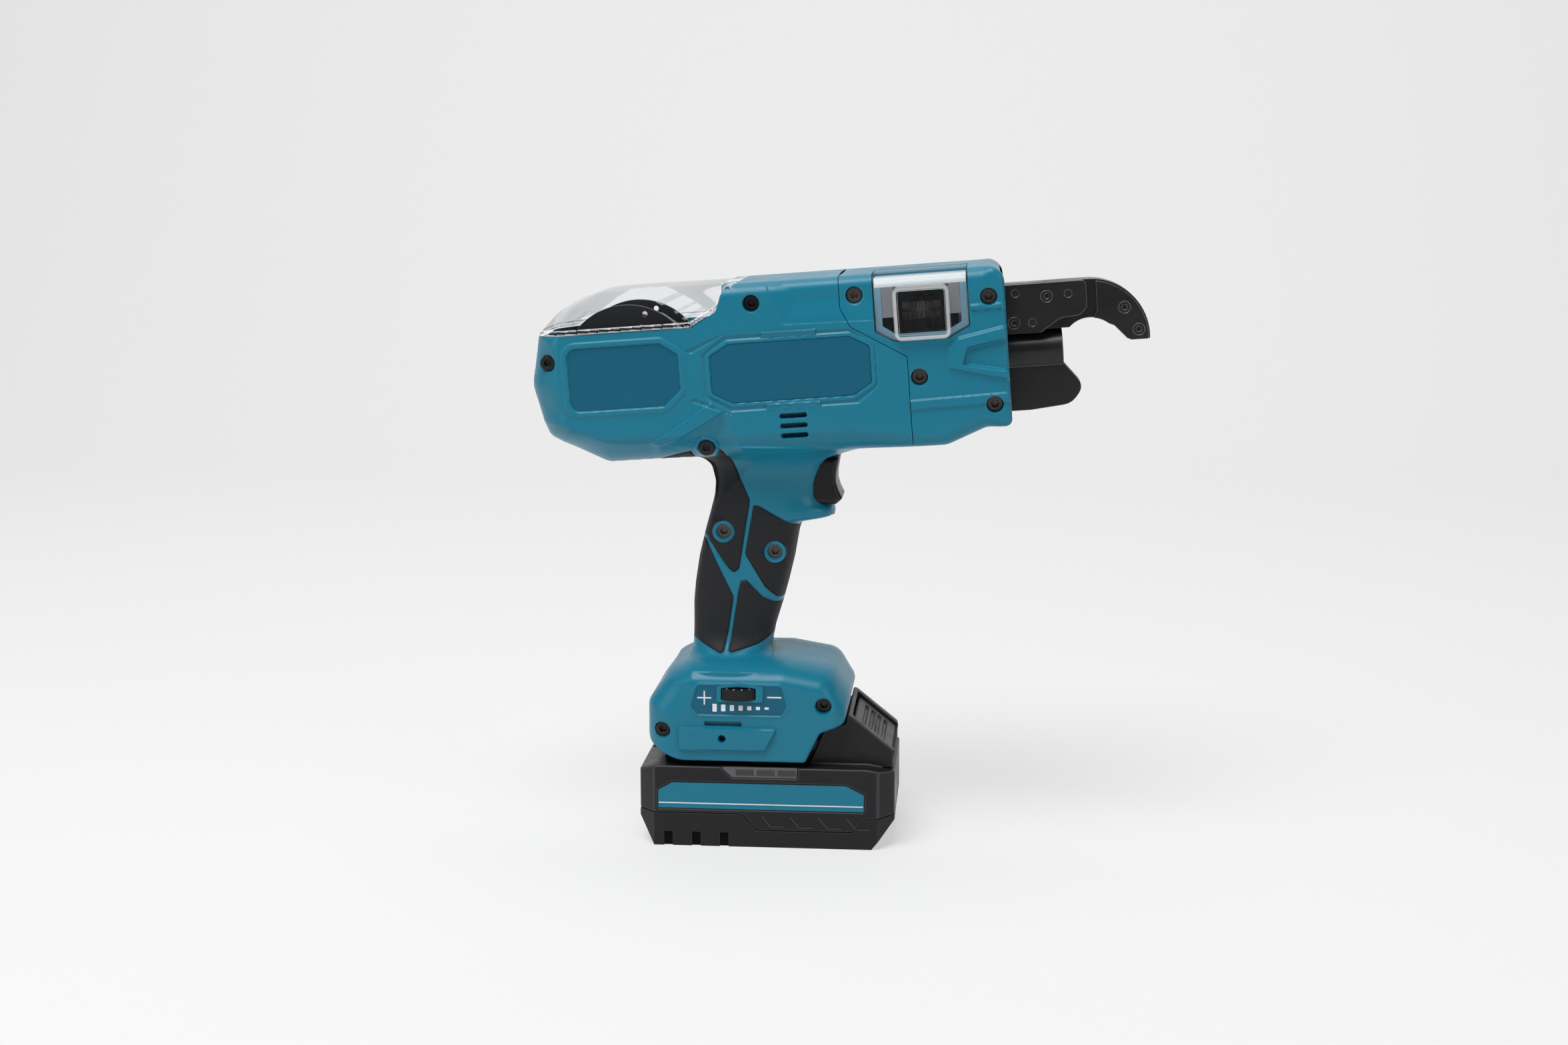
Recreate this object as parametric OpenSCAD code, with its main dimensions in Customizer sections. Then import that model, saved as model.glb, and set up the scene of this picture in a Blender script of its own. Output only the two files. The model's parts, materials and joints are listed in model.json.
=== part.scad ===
// Rebar tying tool: a pistol-grip wire tier with a slide-on battery.
// Millimetres. Origin at the middle of the battery's base, +X towards the jaw, +Z up.
// The barrel has its own tilted frame: u forwards, y across, w up, from the twister's axis.

/* [Barrel] */
// Nose-up tilt of the barrel over the base, in degrees
barrel_tilt = 4.3; // [2:0.1:7]
// Height of the twister's axis above the base, over the origin
barrel_height = 211; // [206:0.5:220]
// Width of the barrel across its two shells
barrel_w = 72; // [70:0.5:80]
// Depth of the barrel below the twister's axis
barrel_under = 36; // [35:0.5:38]
// Height of the barrel above the twister's axis
barrel_over = 39.5; // [38.5:0.5:44]
// Reach of the barrel behind the origin
tail_u = 105; // [104:0.5:112]
// Reach of the nose in front of the origin
nose_u = 104.4; // [103:0.2:108]
// Rounding of the barrel's long edges
barrel_round = 6; // [3:0.5:7]
// Wall of the housing shells
wall = 2.6; // [2:0.1:3]

/* [Handle and foot] */
// Width of the handle
handle_w = 35; // [32:0.5:40]
// Height of the foot's top above the base
foot_top = 83; // [80:0.5:88]
// Width of the foot
foot_w = 73; // [72:0.5:80]
// Rounding of the foot's upper edges
foot_round = 8; // [4:0.5:9]
// Thickness of the rubber grip pads
grip_t = 1.6; // [1:0.1:2.2]
// Travel of the trigger
trigger_travel = 6; // [4:0.5:6.5]
// Width of the trigger
trigger_w = 23; // [18:0.5:24]

/* [Dial] */
// Radius of the thumb wheel
dial_r = 9.5; // [8.5:0.1:10]
// Height of the thumb wheel
dial_h = 5; // [4:0.2:5.4]
// Ridges around the thumb wheel
dial_ridges = 40; // [24:2:48]

/* [Spool] */
// Radius of the spool's flanges
flange_r = 29.5; // [27:0.5:29.5]
// Space between the spool's flanges
spool_gap = 33; // [31:0.5:40]
// Thickness of a spool flange
flange_t = 2.2; // [1.6:0.1:3]
// Radius of the spool's drum
drum_r = 15; // [12:0.5:17]
// Radius of the wound wire under its outer layer
pack_r = 25; // [20:0.5:26.5]
// Diameter of the tie wire
wire_d = 0.8; // [0.6:0.05:0.9]
// Loops in the outer layer of wire
wire_loops = 19; // [8:1:22]
// Radius of the spool's axle
axle_r = 5; // [4:0.5:7]

/* [Jaw] */
// Thickness of the jaw's middle plate
core_t = 12; // [10:0.5:13]
// Thickness of each outer jaw plate
plate_t = 4.5; // [3:0.25:4.5]
// Thickness of each hook cheek
cheek_t = 2.5; // [1.5:0.25:3.5]
// Outer radius of the hook
hook_r = 26; // [25:0.5:28]
// Radius of the jaw's mouth
mouth_r = 12.4; // [11.5:0.1:13]
// Radius of the twister sleeve
twister_r = 6; // [5:0.25:6.25]

/* [Feed] */
// Teeth on each feed gear
feed_teeth = 20; // [16:4:24]
// Teeth on the feed motor's pinion
pinion_teeth = 14; // [10:2:16]
// Module of the feed gears
gear_module = 0.81; // [0.7:0.01:0.85]

/* [Battery] */
// Length of the battery
battery_l = 114; // [112:0.5:120]
// Width of the battery
battery_w = 72; // [70:0.5:78]
// Height of the battery's deck
deck_z = 36.5; // [35:0.5:37]
// Wall of the battery's cases
case_wall = 2.6; // [2:0.1:3]
// Radius of a battery cell
cell_r = 9.2; // [9:0.1:9.4]
// Travel of the battery's release button
button_travel = 3; // [2:0.25:4]

/* [Fasteners] */
// Radius of the shell screws' thread
screw_r = 2; // [1.5:0.1:2.2]
// Radius of the shell screws' heads
head_r = 3.4; // [3:0.1:3.6]
// Radius of the bores for the shell screws' heads
bore_r = 3.7; // [3.3:0.1:3.9]
// Thread radius of the belt hook's insert
insert_r = 1.65; // [1.3:0.05:2.1]

/* [Fits] */
// Gap between shells that meet
seam = 0.2; // [0.1:0.05:0.4]
// Gap between pieces that slide
slide = 0.3; // [0.2:0.05:0.5]
// Radial gap of a shaft that turns in a bore
running = 0.05; // [0.02:0.01:0.08]

/* [Hidden] */

$fn = 48;
eps = 0.01;
far = 200;
arc_step = 18;
edge_steps = 4;
inner_steps = 2;
least_round = 0.4;
teal = "#1b7188";
dark_teal = "#155673";
black = "#1d1e20";
graphite = "#333438";
rubber = "#2b2c2e";
steel = "#a9adb2";
clear = [0.85, 0.88, 0.9, 0.35];

half_w = barrel_w / 2;
inner_y = half_w - wall;
foot_half = foot_w / 2;
grip_half = handle_w / 2;
case_half = battery_w / 2;

// Barrel outline: [u, w, corner radius], anticlockwise seen from the right side
barrel_corners = [
    [-74, -barrel_under, 8],
    [76, -barrel_under, 10],
    [93, -barrel_under + 6.6, 8],
    [nose_u, -barrel_under + 6.8, 3],
    [nose_u, barrel_over, 7],
    [-74.5, barrel_over - 0.1, 30],
    [-91, barrel_over - 7.5, 12],
    [5.4 - tail_u, barrel_over - 16.1, 3],
    [-tail_u, 1, 14],
    [6 - tail_u, -22.5, 6]
];

// Seam between the rear housing and the nose cover
seam_line = [[34, far], [34, 26.2], [38, 17.8], [61.4, 3.6], [61.4, -far]];
// Edge of the clear cover over the spool
cover_floor = barrel_over - 17.2;
cover_line = [[-far, cover_floor], [-30.5, cover_floor], [-19.5, cover_floor + 6.2],
    [-16.4, barrel_over - 3.3],
    [-16.4, far]];
hinge_u = -13.5;
hinge_w = barrel_over - 2.2;
hinge_r = 3.6;
hinge_pin_r = 1.2;
knuckle_r = 2.1;
cover_t = wall - 0.4;
knuckle_y = 12;
ear_y = 18;

// Spool
spool_u = -61.5;
spool_w = barrel_over - 36;
spool_half = spool_gap / 2 + flange_t;
boss_face = spool_half + slide;

// Shell screws in the barrel frame
rear_screws = [[10.4 - tail_u, cover_floor - 11.5], [-3.8, barrel_over - 8.7], [-28.4, 5.4 - barrel_under]];
cover_screws = [[40.4, barrel_over - 8.4], [nose_u - 7, barrel_over - 12.8], [66, -5.6],
    [nose_u - 7, 16.7 - barrel_under]];
screw_sink = 4.5;
head_t = 4;
boss_r = screw_r + 1.8;
collar_r = bore_r + 1.3;
through_l = 50;
rib_t = 2.4;
handle_screw_l = 26;
vent_u = 10.8;
vent_pitch = 4.3;
vent_l = 12;
vent_h = 2.3;

// Drive train along the twister's axis
motor_r = 17.5;
motor_u = [-26, 14];
gearbox_r = 18;
gearbox_u = [14, 50];
frame_r = 11.5;
frame_u = [50, 88];
collar_l = 4;
saddle_half = 8;
frame_drop = barrel_under - 12;
bearing_r = 9.5;
bearing_u = [78, 86];
cheek_u = [84, nose_u - wall - slide];
cheek_y = core_t / 2 + plate_t + slide;
cheek_out = cheek_y + 4;
twister_end = 121;

// Wire feed: two gears on upright axles, wire between them in the tool's middle plane
feed_u = 68;
feed_w = [18, 25.4];
spur_w = [13.2, 18];
table_w = 12;
table_t = 1;
gear_r = gear_module * feed_teeth / 2;
pinion_r = gear_module * pinion_teeth / 2;
mesh_gap = 0.12;
gear_y = gear_r + mesh_gap / 2;
pinion_y = gear_y + gear_r + pinion_r + mesh_gap;
feed_axle_r = 2;
feed_motor_r = min(10, half_w - wall - pinion_y - slide);

// Jaw
jaw_u = 90;
jaw_floor = 9;
jaw_top = 29.6;
hook_centre = [140.3, jaw_top - hook_r];
mouth_centre = [140.5, 0.3];
guide_in = twister_r + 1.4;
guide_out = guide_in + 1.4;
guide_end = 128.4;
flange_in = 3;
flange_out = 4.6;
jaw_screw_spots = [[122.4, 23.5], [107.8, 12.8]];
hook_screw_spots = [[155.7, 16.3], [161.4, 6.4]];
dowel_spots = [[109, 25.6], [131.7, 24], [115.7, 12.5]];
jaw_head_r = 2.5;
jaw_head_t = 1.6;
jaw_thread_r = 1.5;
dowel_r = 1.6;
wire_w = (feed_w[0] + feed_w[1]) / 2;
cutter_spot = [115.5, wire_w];
cutter_r = 3;
groove_r = wire_w - mouth_centre.y + wire_d;

// Foot outline: [x, z, corner radius]
foot_floor = deck_z + 2.5;
foot_corners = [
    [-40, foot_floor, 14],
    [17.5, foot_floor, 2],
    [24, foot_floor + 13.5, 3],
    [34.5, foot_floor + 17.5, 4],
    [37, foot_top - 16, 6],
    [29, foot_top - 3.6, 10],
    [8, foot_top, 12],
    [-34, foot_top, 4],
    [-44.5, foot_top - 5.5, 10],
    [-55, foot_top - 19, 8],
    [-55, foot_floor + 9, 10]
];

// Handle sections: [share of the height, rear x, front x, share of the width]
handle_z0 = foot_top - 4;
handle_z1 = barrel_height - barrel_under + 2;
handle_stations = [
    [0, -37, 1, 1.06],
    [0.06, -35.6, -0.2, 1],
    [0.15, -35.4, 1.4, 0.96],
    [0.27, -35.4, 5, 0.95],
    [0.36, -34.6, 7.4, 0.96],
    [0.48, -32.8, 10.2, 0.97],
    [0.6, -30, 12.2, 0.98],
    [0.645, -28.8, 13.6, 0.98],
    [0.66, -28.4, 17.5, 0.98],
    [0.67, -28.1, 28.3, 0.98],
    [0.715, -27, 28.3, 0.98],
    [0.728, -26.6, 25.6, 0.98],
    [0.77, -25.7, 22.6, 0.98],
    [0.83, -25.3, 22.4, 0.98],
    [0.9, -27, 24.4, 1],
    [0.95, -31.5, 30, 1.04],
    [0.98, -38, 35, 1.1],
    [1.02, -52, 42, 1.16]
];
handle_power = 2 / 2.7;
handle_turns = 10;

// Handle screws at [x, share of the handle's height]
handle_screw_spots = [[-20.5, 0.61], [2.4, 0.52]];
ring_r = bore_r + 1.1;
foot_screw_spots = [[-46, foot_floor + 13.5], [25.5, foot_top - 18]];

// Trigger and its switch
trigger_share = [0.732, 0.95];
trigger_front = 30.5;
trigger_rear = 15.5;
stem_w = 8;
stem_h = 8;
switch_x = [-14, trigger_rear - trigger_travel - 0.9];
switch_w = 19;

// Dial and the boards in the foot
dial_x = -12;
dial_y = 6 - foot_half;
dial_z = foot_top - 15.7;
board_z = dial_z - 7.3;
board_t = 1.6;
pot_w = 6.4;
pot_shaft_r = 1.5;

// Battery rail
neck_w = 40;
head_w = 52;
neck_top = deck_z + 5.5;
head_top = deck_z + 10.5;
rail_x = [-51, 33];
channel_top = head_top + slide;
floor_t = 2.6;
slot_y = [-16, 0, 16];
slot_w = 2.4;
slot_depth = 7;
blade_x = [-36, -20];
blade_t = 1;
foot_deck = channel_top + floor_t;
case_chamfer = 7;
case_front = battery_l / 2;
hollow_x = case_front - case_chamfer - case_wall;
cell_gap = 0.3;
cell_count = floor((2 * hollow_x + cell_gap) / (2 * cell_r + cell_gap));

// Belt hook seat
insert_x = -19.2;
insert_z = foot_floor + 10.8;
insert_out = insert_r + 1.4;
insert_l = 7;

// Side labels: recess outlines in the barrel frame
label_t = 0.6;
label_sink = 0.8;
rear_label = [[-85.4, -10.9, 4], [-44.6, -10.9, 1], [-37, -4.2, 1], [-37, cover_floor - 11.2, 1],
    [-44.6, cover_floor - 5.9, 1], [-85.4, cover_floor - 5.9, 4]];
side_label = [[-15, -11.3, 1], [37.3, -11.3, 1], [45.4, -6.4, 1], [45.4, 9.2, 1], [37, 13.8, 1],
    [-15, 13.8, 1],
    [-23.3, 9.2, 1], [-23.3, -6.6, 1]];
dial_label = [[-30, dial_z - 7, 2], [7, dial_z - 7, 1], [9.5, dial_z - 2.8, 2], [7, dial_z + 6.2, 2],
    [-30.3, dial_z + 6.2, 2], [-33, dial_z - 3.6, 2]];
window_outline = [[56.4, 10.4, 2], [79.6, 10.4, 2], [88.8, 15, 2], [88.8, far, 0], [48.4, far, 0],
    [48.4, 15, 2]];
bulge_top = barrel_over - 5.9;
bulge_outline = [[56.8, 10.6, 3], [80.8, 10.6, 3], [80.8, bulge_top, 3], [56.8, bulge_top, 3]];
bulge_out = 3.6;
window_t = 2;
window_inner = 13;

// Points and outlines

function unit(v) = v / norm(v);
function turned(v, a) = [v.x * cos(a) - v.y * sin(a), v.x * sin(a) + v.y * cos(a)];
function left_of(v) = [-v.y, v.x];
function at_share(s) = handle_z0 + s * (handle_z1 - handle_z0);

// A corner list moved inwards by d, with each corner radius following
function inset_corners(corners, d) =
    let (n = len(corners))
    [for (i = [0 : n - 1])
        let (
            a = corners[(i + n - 1) % n],
            b = corners[i],
            c = corners[(i + 1) % n],
            before = left_of(unit([b.x - a.x, b.y - a.y])),
            after = left_of(unit([c.x - b.x, c.y - b.y])),
            spot = [b.x, b.y] + d * (before + after) / (1 + before * after),
            convex = cross(before, after) > 0
        )
        [spot.x, spot.y, b.z == 0 ? 0 : max(least_round, convex ? b.z - d : b.z + d)]];

// The points of one rounded corner
function corner_points(a, b, c, r) =
    r <= 0 ? [b] :
    let (
        p = unit(a - b),
        q = unit(c - b),
        half = acos(max(-1, min(1, p * q))) / 2,
        middle = b + unit(p + q) * r / sin(half),
        start = b + p * r / tan(half) - middle,
        turn = 180 - 2 * half,
        way = cross(p, q) < 0 ? 1 : -1,
        steps = max(1, round(turn / arc_step))
    )
    [for (i = [0 : steps]) middle + turned(start, way * turn * i / steps)];

// A rounded outline from a corner list
function outline(corners, d = 0) =
    let (moved = inset_corners(corners, d), n = len(moved))
    [for (i = [0 : n - 1])
        let (
            a = moved[(i + n - 1) % n],
            b = moved[i],
            c = moved[(i + 1) % n]
        )
        each corner_points([a.x, a.y], [b.x, b.y], [c.x, c.y], b.z)];

// Side and end faces over rings of equal length
function ring_faces(rings, n) = concat(
    [[for (i = [0 : n - 1]) i]],
    [for (k = [0 : rings - 2])
        for (i = [0 : n - 1])
            let (a = k * n + i, b = k * n + (i + 1) % n)
            each [[a, a + n, b + n], [a, b + n, b]]],
    [[for (i = [n - 1 : -1 : 0]) (rings - 1) * n + i]]);

// Steps of a rounded edge: [depth, inset]
function edge_layers(half, round_r, steps) =
    [for (i = [0 : steps])
        let (a = 90 * i / steps)
        [half - round_r + round_r * sin(a), round_r * (1 - cos(a))]];

// A half prism on the right side, from y = back to y = -half, with a rounded outer edge
module rounded_half(corners, half, round_r, d = 0, back = 1) {
    steps = d > 0 ? inner_steps : edge_steps;
    layers = concat([[-back, 0]], edge_layers(half - d, max(least_round, round_r - d), steps));
    rings = [for (l = layers) [for (p = outline(corners, d + l[1])) [p.x, -l[0], p.y]]];
    polyhedron([for (r = rings) each r], ring_faces(len(rings), len(rings[0])), convexity = 8);
}

// A whole prism about the middle plane, with both edges rounded
module rounded_whole(corners, half, round_r, d = 0) {
    right = edge_layers(half - d, max(least_round, round_r - d), d > 0 ? inner_steps : edge_steps);
    left = [for (i = [len(right) - 1 : -1 : 0]) [-right[i][0], right[i][1]]];
    layers = concat(left, right);
    rings = [for (l = layers) [for (p = outline(corners, d + l[1])) [p.x, -l[0], p.y]]];
    polyhedron([for (r = rings) each r], ring_faces(len(rings), len(rings[0])), convexity = 8);
}

// An outline in the side view, drawn across the tool from y0 to y1
module across(y0, y1) {
    translate([0, max(y0, y1), 0]) rotate([90, 0, 0]) linear_extrude(abs(y1 - y0)) children();
}

// A cylinder across the tool at [x, z]
module rod(spot, r, y0, y1) {
    across(y0, y1) translate(spot) circle(r);
}

module box(low, high) {
    translate(low) cube(high - low);
}

module in_barrel() {
    translate([0, 0, barrel_height]) rotate([0, -barrel_tilt, 0]) children();
}

// A cylinder along the barrel, about the twister's axis
module along(r, from, to) {
    translate([from, 0, 0]) rotate([0, 90, 0]) cylinder(r = r, h = to - from);
}

// An upright cylinder in the barrel frame
module upright(u, y, r, from, to) {
    translate([u, y, from]) cylinder(r = r, h = to - from);
}

module on_left() {
    mirror([0, 1, 0]) children();
}

// Housing

module nose_region(gap) {
    across(-far, far) polygon([for (p = seam_line) [p.x - gap, p.y], [far, -far], [far, far]]);
}

module cover_region(gap) {
    across(-far, far) polygon([for (p = cover_line) [p.x + gap, p.y - gap], [-far, far]]);
    rod([hinge_u, hinge_w], hinge_r + gap, -far, far);
}

// Half of the handle as stacked sections, moved inwards by d
function handle_ring(s, d, back) =
    let (
        middle = (s[1] + s[2]) / 2,
        reach = (s[2] - s[1]) / 2 - d,
        half = grip_half * s[3] - d
    )
    concat(
        [[middle + reach, back, at_share(s[0])]],
        [for (i = [0 : handle_turns])
            let (a = 180 * i / handle_turns)
            [middle + reach * sign(cos(a)) * pow(abs(cos(a)), handle_power),
                -half * pow(max(0, sin(a)), handle_power), at_share(s[0])]],
        [[middle - reach, back, at_share(s[0])]]);

module handle_half(d = 0, back = 2) {
    rings = [for (i = [len(handle_stations) - 1 : -1 : 0]) handle_ring(handle_stations[i], d, back)];
    polyhedron([for (r = rings) each r], ring_faces(len(rings), len(rings[0])), convexity = 8);
}

// Side view of the four grip pads, moved inwards by d
grip_pads = [
    [[-60, at_share(0.62), 0], [-31, at_share(0.5), 2], [-12.5, at_share(0.37), 2], [-9.5, at_share(0.38), 2],
        [-6.4, at_share(0.6), 2], [-8.3, at_share(0.73), 2], [-14.6, at_share(0.87), 4],
        [-22, at_share(0.94), 3],
        [-60, at_share(0.9), 0]],
    [[-5, at_share(0.44), 2], [7, at_share(0.315), 2], [30, at_share(0.33), 0], [30, at_share(0.62), 0],
        [0, at_share(0.7), 2], [-4.4, at_share(0.7), 2]],
    [[-60, at_share(0.1), 0], [-17, at_share(0.065), 2], [-12, at_share(0.3), 2], [-33.5, at_share(0.475), 2],
        [-60, at_share(0.58), 0]],
    [[-13.6, at_share(0.07), 2], [30, at_share(0.12), 0], [30, at_share(0.295), 0], [5, at_share(0.29), 2],
        [-8, at_share(0.36), 2], [-9.6, at_share(0.33), 2]]
];

module grip_region(gap) {
    for (pad = grip_pads) {
        across(-far, far) polygon(outline(pad, gap));
    }
}

// A screw boss on the right shell, with a collar round the screw's head
module boss(spot, half, inner = 0) {
    rod(spot, boss_r, -half + 1, -inner);
    rod(spot, collar_r, -half + 1, -half + screw_sink + head_t + 2);
}

// The bore of a shell screw: head from the right side, thread through to the left
module screw_bore(spot, half, length) {
    rod(spot, bore_r, -far, -half + screw_sink + head_t);
    rod(spot, screw_r + running, -half, length - half);
}

module shell_screw(spot, half, length) {
    face = screw_sink + head_t - half - seam;
    difference() {
        union() {
            rod(spot, head_r, face - head_t, face);
            rod(spot, screw_r, face - eps, length - half - slide);
        }
        translate([spot.x, face - head_t, spot.y]) rotate([90, 0, 0])
            cylinder(r = head_r * 0.5, h = 4, center = true, $fn = 6);
    }
}

// Ring-shaped ribs that hold the motor and the gearbox
module drive_ribs() {
    for (rib = [[motor_u[0] + 6, motor_r], [motor_u[1] - 10, motor_r], [gearbox_u[1] - 22, gearbox_r]]) {
        difference() {
            box([rib[0], -inner_y - 1, -barrel_under + 1], [rib[0] + rib_t, 0, gearbox_r + 4]);
            along(rib[1] + running, rib[0] - 1, rib[0] + rib_t + 1);
        }
    }
}

module label_frame(corners, gap) {
    across(-far, -half_w + label_sink) polygon(outline(corners, -gap));
}

module vents() {
    for (i = [0 : 2]) {
        across(-far, -half_w + wall + 2) translate([vent_u, -18.5 - vent_pitch * i]) {
            square([vent_l - vent_h, vent_h], center = true);
            for (side = [-1, 1]) {
                translate([side * (vent_l - vent_h) / 2, 0]) circle(vent_h / 2);
            }
        }
    }
}

// The outside of one rear shell: barrel, handle and foot
module shell_outside() {
    in_barrel() difference() {
        rounded_half(barrel_corners, half_w, barrel_round);
        nose_region(seam / 2);
        cover_region(slide);
    }
    difference() {
        handle_half();
        grip_region(0);
    }
    handle_half(grip_t + seam / 2, 2.4);
    rounded_half(foot_corners, foot_half, foot_round, 0, 1.5);
}

// The hollow of one rear shell
module shell_inside() {
    in_barrel() rounded_half(barrel_corners, half_w, barrel_round, wall, 3);
    handle_half(grip_t + wall, 4);
    difference() {
        rounded_half(foot_corners, foot_half, foot_round, wall, 3.5);
        box([-far, -far, 0], [far, far, foot_deck]);
    }
}

// The battery's way through the foot
module battery_channel() {
    box([-far, -head_w / 2 - slide, neck_top - slide], [far, head_w / 2 + slide, channel_top]);
    box([-far, -neck_w / 2 - slide, 0], [far, neck_w / 2 + slide, neck_top]);
}

module blade_slots() {
    for (y = slot_y) {
        box([blade_x[0] - seam, y - blade_t / 2 - seam, 0],
            [blade_x[1] + seam, y + blade_t / 2 + seam, foot_deck + 1]);
    }
}

module trigger_slot() {
    box([0, -trigger_w / 2 - slide, at_share(trigger_share[0]) - slide],
        [60, trigger_w / 2 + slide, at_share(trigger_share[1]) + slide]);
}

// Posts, ribs and bosses inside one rear shell
module shell_inner_work() {
    in_barrel() {
        difference() {
            intersection() {
                union() {
                    drive_ribs();
                    for (spot = rear_screws) {
                        boss(spot, half_w);
                    }
                    rod([spool_u, spool_w], axle_r + 3, -half_w + 1, -boss_face);
                }
                rounded_half(barrel_corners, half_w, barrel_round, 1, 5);
            }
            nose_region(seam);
            cover_region(slide);
        }
        rod([hinge_u, hinge_w], knuckle_r, -ear_y, -knuckle_y - slide);
        box([hinge_u, -ear_y, hinge_w - knuckle_r],
            [hinge_u + hinge_r + 2, -knuckle_y - slide, hinge_w + knuckle_r - 0.4]);
    }
    for (z = [at_share(0.76), at_share(0.9)]) {
        box([-10, -grip_half + wall, z], [-4, -switch_w / 2, z + 4]);
    }
    for (spot = handle_screw_spots) {
        rod([spot.x, at_share(spot.y)], ring_r, -grip_half + 2, 0);
    }
    for (spot = foot_screw_spots) {
        boss(spot, foot_half);
    }
    for (x = [-9, 13]) {
        translate([x, -16, foot_deck - eps]) cylinder(r = 3, h = board_z - foot_deck + eps);
    }
    rod([insert_x, insert_z], insert_out + 2, -foot_half + 1, -foot_half + insert_l + 1);
}

module shell_half() {
    difference() {
        union() {
            difference() {
                shell_outside();
                shell_inside();
            }
            shell_inner_work();
        }
        battery_channel();
        blade_slots();
        trigger_slot();
        in_barrel() rod([spool_u, spool_w], axle_r + running, -inner_y, 1);
        in_barrel() rod([hinge_u, hinge_w], hinge_pin_r + running, -ear_y - 1, 1);
        in_barrel() label_frame(rear_label, seam);
        in_barrel() label_frame(side_label, seam);
        in_barrel() vents();
        box([-far, -seam / 2, -1], [far, far, 400]);
    }
}

module right_housing() {
    color(teal) difference() {
        shell_half();
        in_barrel() for (spot = rear_screws) {
            screw_bore(spot, half_w, through_l);
        }
        for (spot = handle_screw_spots) {
            screw_bore([spot.x, at_share(spot.y)], grip_half, handle_screw_l);
        }
        for (spot = foot_screw_spots) {
            screw_bore(spot, foot_half, through_l);
        }
        across(-far, -foot_half + label_sink) polygon(outline(dial_label, -seam));
        translate([dial_x, dial_y, dial_z - slide]) cylinder(r = dial_r + slide, h = dial_h + 2 * slide);
        rod([insert_x, insert_z], insert_out + running, -far, -foot_half + insert_l);
    }
}

module left_housing() {
    color(teal) difference() {
        on_left() shell_half();
        in_barrel() for (spot = rear_screws) {
            screw_bore(spot, half_w, through_l);
        }
        for (spot = handle_screw_spots) {
            screw_bore([spot.x, at_share(spot.y)], grip_half, handle_screw_l);
        }
        for (spot = foot_screw_spots) {
            screw_bore(spot, foot_half, through_l);
        }
    }
}

module nose_half(frame_spots) {
    difference() {
        intersection() {
            union() {
                difference() {
                    rounded_half(barrel_corners, half_w, barrel_round);
                    rounded_half(barrel_corners, half_w, barrel_round, wall, 3);
                }
                boss(cover_screws[0], half_w);
                for (spot = frame_spots) {
                    boss(spot, half_w, cheek_out + seam);
                }
            }
            nose_region(-seam / 2);
        }
        box([nose_u - wall - 1, -core_t / 2 - plate_t - seam, -barrel_under + 9], [far, 1, jaw_top + seam]);
        box([-far, -seam / 2, -far], [far, far, far]);
    }
}

module window_region(gap) {
    across(-far, -window_inner) polygon(outline(window_outline, gap));
}

module right_nose_cover() {
    color(teal) in_barrel() difference() {
        nose_half([for (i = [1 : 3]) cover_screws[i]]);
        window_region(-seam);
        screw_bore(cover_screws[0], half_w, through_l);
        for (i = [1, 2, 3]) {
            screw_bore(cover_screws[i], half_w, half_w);
        }
    }
}

module left_nose_cover() {
    color(teal) in_barrel() difference() {
        on_left() nose_half([cover_screws[1], cover_screws[3]]);
        screw_bore(cover_screws[0], half_w, through_l);
    }
}

module grip_half_pads() {
    intersection() {
        difference() {
            handle_half();
            handle_half(grip_t, 4);
            for (spot = handle_screw_spots) {
                rod([spot.x, at_share(spot.y)], ring_r + seam, -far, 0);
            }
        }
        grip_region(seam);
        box([-far, -far, 0], [far, -seam / 2, far + 100]);
    }
}

module right_grip() {
    color(rubber) grip_half_pads();
}

module left_grip() {
    color(rubber) on_left() grip_half_pads();
}

// Spool cover, clear, hinged at its front edge
module spool_cover() {
    color(clear) in_barrel() difference() {
        union() {
            difference() {
                intersection() {
                    rounded_whole(barrel_corners, half_w, barrel_round);
                    cover_region(0);
                }
                rounded_whole(barrel_corners, half_w, barrel_round, cover_t);
            }
            rod([hinge_u, hinge_w], knuckle_r, -knuckle_y, knuckle_y);
            for (side = [-1, 1]) {
                rod([hinge_u, hinge_w], knuckle_r, side * (ear_y + slide), side * (inner_y + 1));
            }
        }
        rod([hinge_u, hinge_w], hinge_pin_r + running, -far, far);
        for (side = [-1, 1]) {
            rod([hinge_u, hinge_w], hinge_r + slide, side * knuckle_y, side * (ear_y + slide));
        }
    }
}

module cover_hinge_pin() {
    color(steel) in_barrel() rod([hinge_u, hinge_w], hinge_pin_r, -ear_y, ear_y);
}

// Clear window over the feed gears, wrapping the barrel's top edge, with a raised box
module feed_window() {
    color(clear) in_barrel() difference() {
        union() {
            intersection() {
                difference() {
                    rounded_half(barrel_corners, half_w, barrel_round);
                    rounded_half(barrel_corners, half_w, barrel_round, window_t, 3);
                }
                window_region(seam);
                box([0, -far, -far], [far, -window_inner - seam, far]);
            }
            across(-half_w - bulge_out, -half_w + eps) polygon(outline(bulge_outline));
        }
        across(-half_w - bulge_out + window_t, -half_w + window_t + 1)
            polygon(outline(bulge_outline, window_t));
    }
}

module rear_label_plate() {
    color(dark_teal) in_barrel()
        across(-half_w + label_sink - label_t, -half_w + label_sink) polygon(outline(rear_label));
}

module side_label_plate() {
    color(dark_teal) in_barrel()
        across(-half_w + label_sink - label_t, -half_w + label_sink) polygon(outline(side_label));
}

module dial_panel() {
    color(dark_teal) difference() {
        across(-foot_half + label_sink - label_t, -foot_half + label_sink) polygon(outline(dial_label));
        translate([dial_x, dial_y, dial_z - slide]) cylinder(r = dial_r + slide, h = dial_h + 2 * slide);
    }
}

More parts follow.
